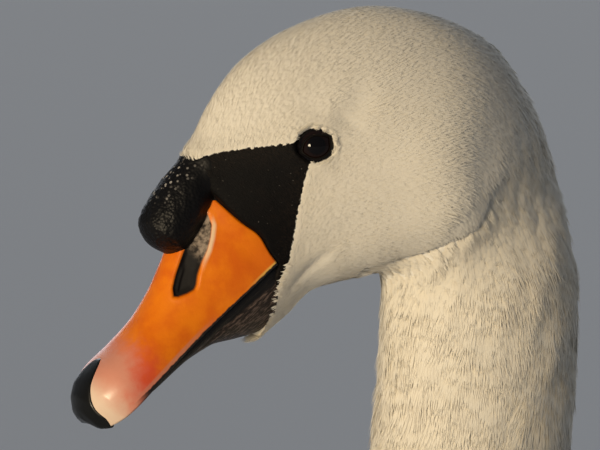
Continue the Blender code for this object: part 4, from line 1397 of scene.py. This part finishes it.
def make_eye(sign, side, ball_material, lid_material):
    """One eyeball, and the roll of skin round its opening."""
    centre, towards_rear = np.array([sign * EYE[0], EYE[1], EYE[2]]), np.array([0.30 * sign, 0.92, 0.22])
    outward = unit(np.array([0.93 * sign, -0.34, 0.10]))
    rearward = unit(towards_rear - outward * np.dot(towards_rear, outward))
    upward = np.cross(outward, rearward) * sign

    def eye_place(rear, up, out):
        return centre + rearward * rear[:, None] + upward * up[:, None] + outward * out[:, None]

    def ball_place(v, u):
        angle, turn = np.pi * (0.003 + 0.994 * v), u * 2 * np.pi
        radius = EYE_RADIUS + 0.35 * ramp(angle, 0.62, 0.2)
        ring = radius * np.sin(angle)
        return eye_place(ring * np.cos(turn), ring * np.sin(turn), radius * np.cos(angle))

    def ball_fields(v, u, points):
        return {"ring": np.pi * v}

    def lid_place(v, u):
        turn, profile = v * 2 * np.pi, u * 2 * np.pi
        # A soft roll round the opening, drawn out to a point at both corners.
        outer = 0.5 - 0.5 * np.cos(profile)
        rear, front = hump(turn, 0.52, 0.26), hump(turn, 3.25, 0.26)
        wide = 1.0 + outer * 0.18 + (0.20 + 0.12 * outer) * rear + (0.08 + 0.12 * outer) * front
        along, up = EYE_OPENING[0] * np.cos(turn) * wide, EYE_OPENING[1] * np.sin(turn) * wide - 0.5
        height = np.sqrt(np.maximum((EYE_RADIUS + 0.25) ** 2 - along * along - up * up, 1))
        return eye_place(along, up, height + 0.40 * np.sin(profile) - 0.25 * outer)

    def lid_fields(v, u, points):
        return {"rim": 0.5 - 0.5 * np.cos(u * 2 * np.pi)}

    mesh = sheet_mesh("eyeball_" + side, 60, 64, ball_place, ball_fields)
    finish_piece(mesh, ball_material, ["eye_" + side])
    finish_piece(sheet_mesh("eyelid_" + side, 96, 18, lid_place, lid_fields), lid_material)


# ---------------------------------------------------------------- stage and camera


def make_floor():
    shape = bmesh.new()
    bmesh.ops.create_circle(shape, cap_ends=True, segments=96, radius=80)
    mesh = bpy.data.meshes.new("floor")
    shape.to_mesh(mesh)
    shape.free()
    mesh.materials.append(Finish("floor_pale", (0.64, 0.67, 0.71), 0.9).material)
    floor = bpy.data.objects.new("floor", mesh)
    bpy.context.scene.collection.objects.link(floor)


def set_up(name, data, middle, azimuth, elevation, distance):
    """A lamp or camera that looks at middle from a direction, at a distance."""
    a, e = math.radians(azimuth), math.radians(elevation)
    back = Vector((math.sin(a) * math.cos(e), -math.cos(a) * math.cos(e), math.sin(e)))
    holder = bpy.data.objects.new(name, data)
    holder.location = Vector(middle) + back * distance
    holder.rotation_euler = back.to_track_quat("Z", "Y").to_euler()
    bpy.context.scene.collection.objects.link(holder)
    return holder


def add_sun(name, azimuth, elevation, energy, colour, spread):
    lamp = bpy.data.lights.new(name, "SUN")
    lamp.energy, lamp.color, lamp.angle = energy, colour, math.radians(spread)
    set_up(name, lamp, (0, -0.2, 0.5), azimuth, elevation, 4).visible_camera = False


def make_stage():
    make_floor()
    add_sun("warm_key", 32, 2.5, 4.0, (1.0, 0.82, 0.56), 20)
    add_sun("back_fill", 238, 12, 1.3, (0.86, 0.92, 1.0), 60)
    scene = bpy.context.scene
    scene.world = bpy.data.worlds.new("studio")
    scene.world.use_nodes = True
    sky = scene.world.node_tree.nodes["Background"]
    sky.inputs["Color"].default_value = (0.60, 0.65, 0.74, 1)
    sky.inputs["Strength"].default_value = 0.17
    scene.view_settings.view_transform = "Standard"
    distance, width = 1.9, 0.192
    lens = bpy.data.cameras.new("camera")
    lens.lens = lens.sensor_width * distance / width
    lens.clip_start, lens.clip_end = 0.05, 500
    scene.camera = set_up("camera", lens, (0, -0.25, 0.65), 66, 6, distance)


def build():
    make_shared_effects()
    shell = Shell()
    make_swan_skin(shell, make_skin())
    bill = make_upper_bill(make_bill_orange())
    make_nail(make_bill_black(), bill)
    make_lower_bill(make_jaw_skin())
    make_knob(make_knob_skin(), shell, bill)
    glass, lid = make_eye_glass(), make_lid_skin()
    for sign, side in SIDES:
        make_eye(sign, side, glass, lid)
    down = make_down()
    share = 1.0
    plume_body(shell, make_feather("contour_feather", 0.25), make_feather("flight_feather", 0.4), share)
    leg_skin = make_leg_skin()
    for node_name in ("leg_left", "leg_right", "foot_left", "foot_right"):
        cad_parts[node_name].material_slots[0].material = leg_skin
    chin_fringe(shell, down, 41)
    plume_head(shell, down, share)
    make_stage()


build()
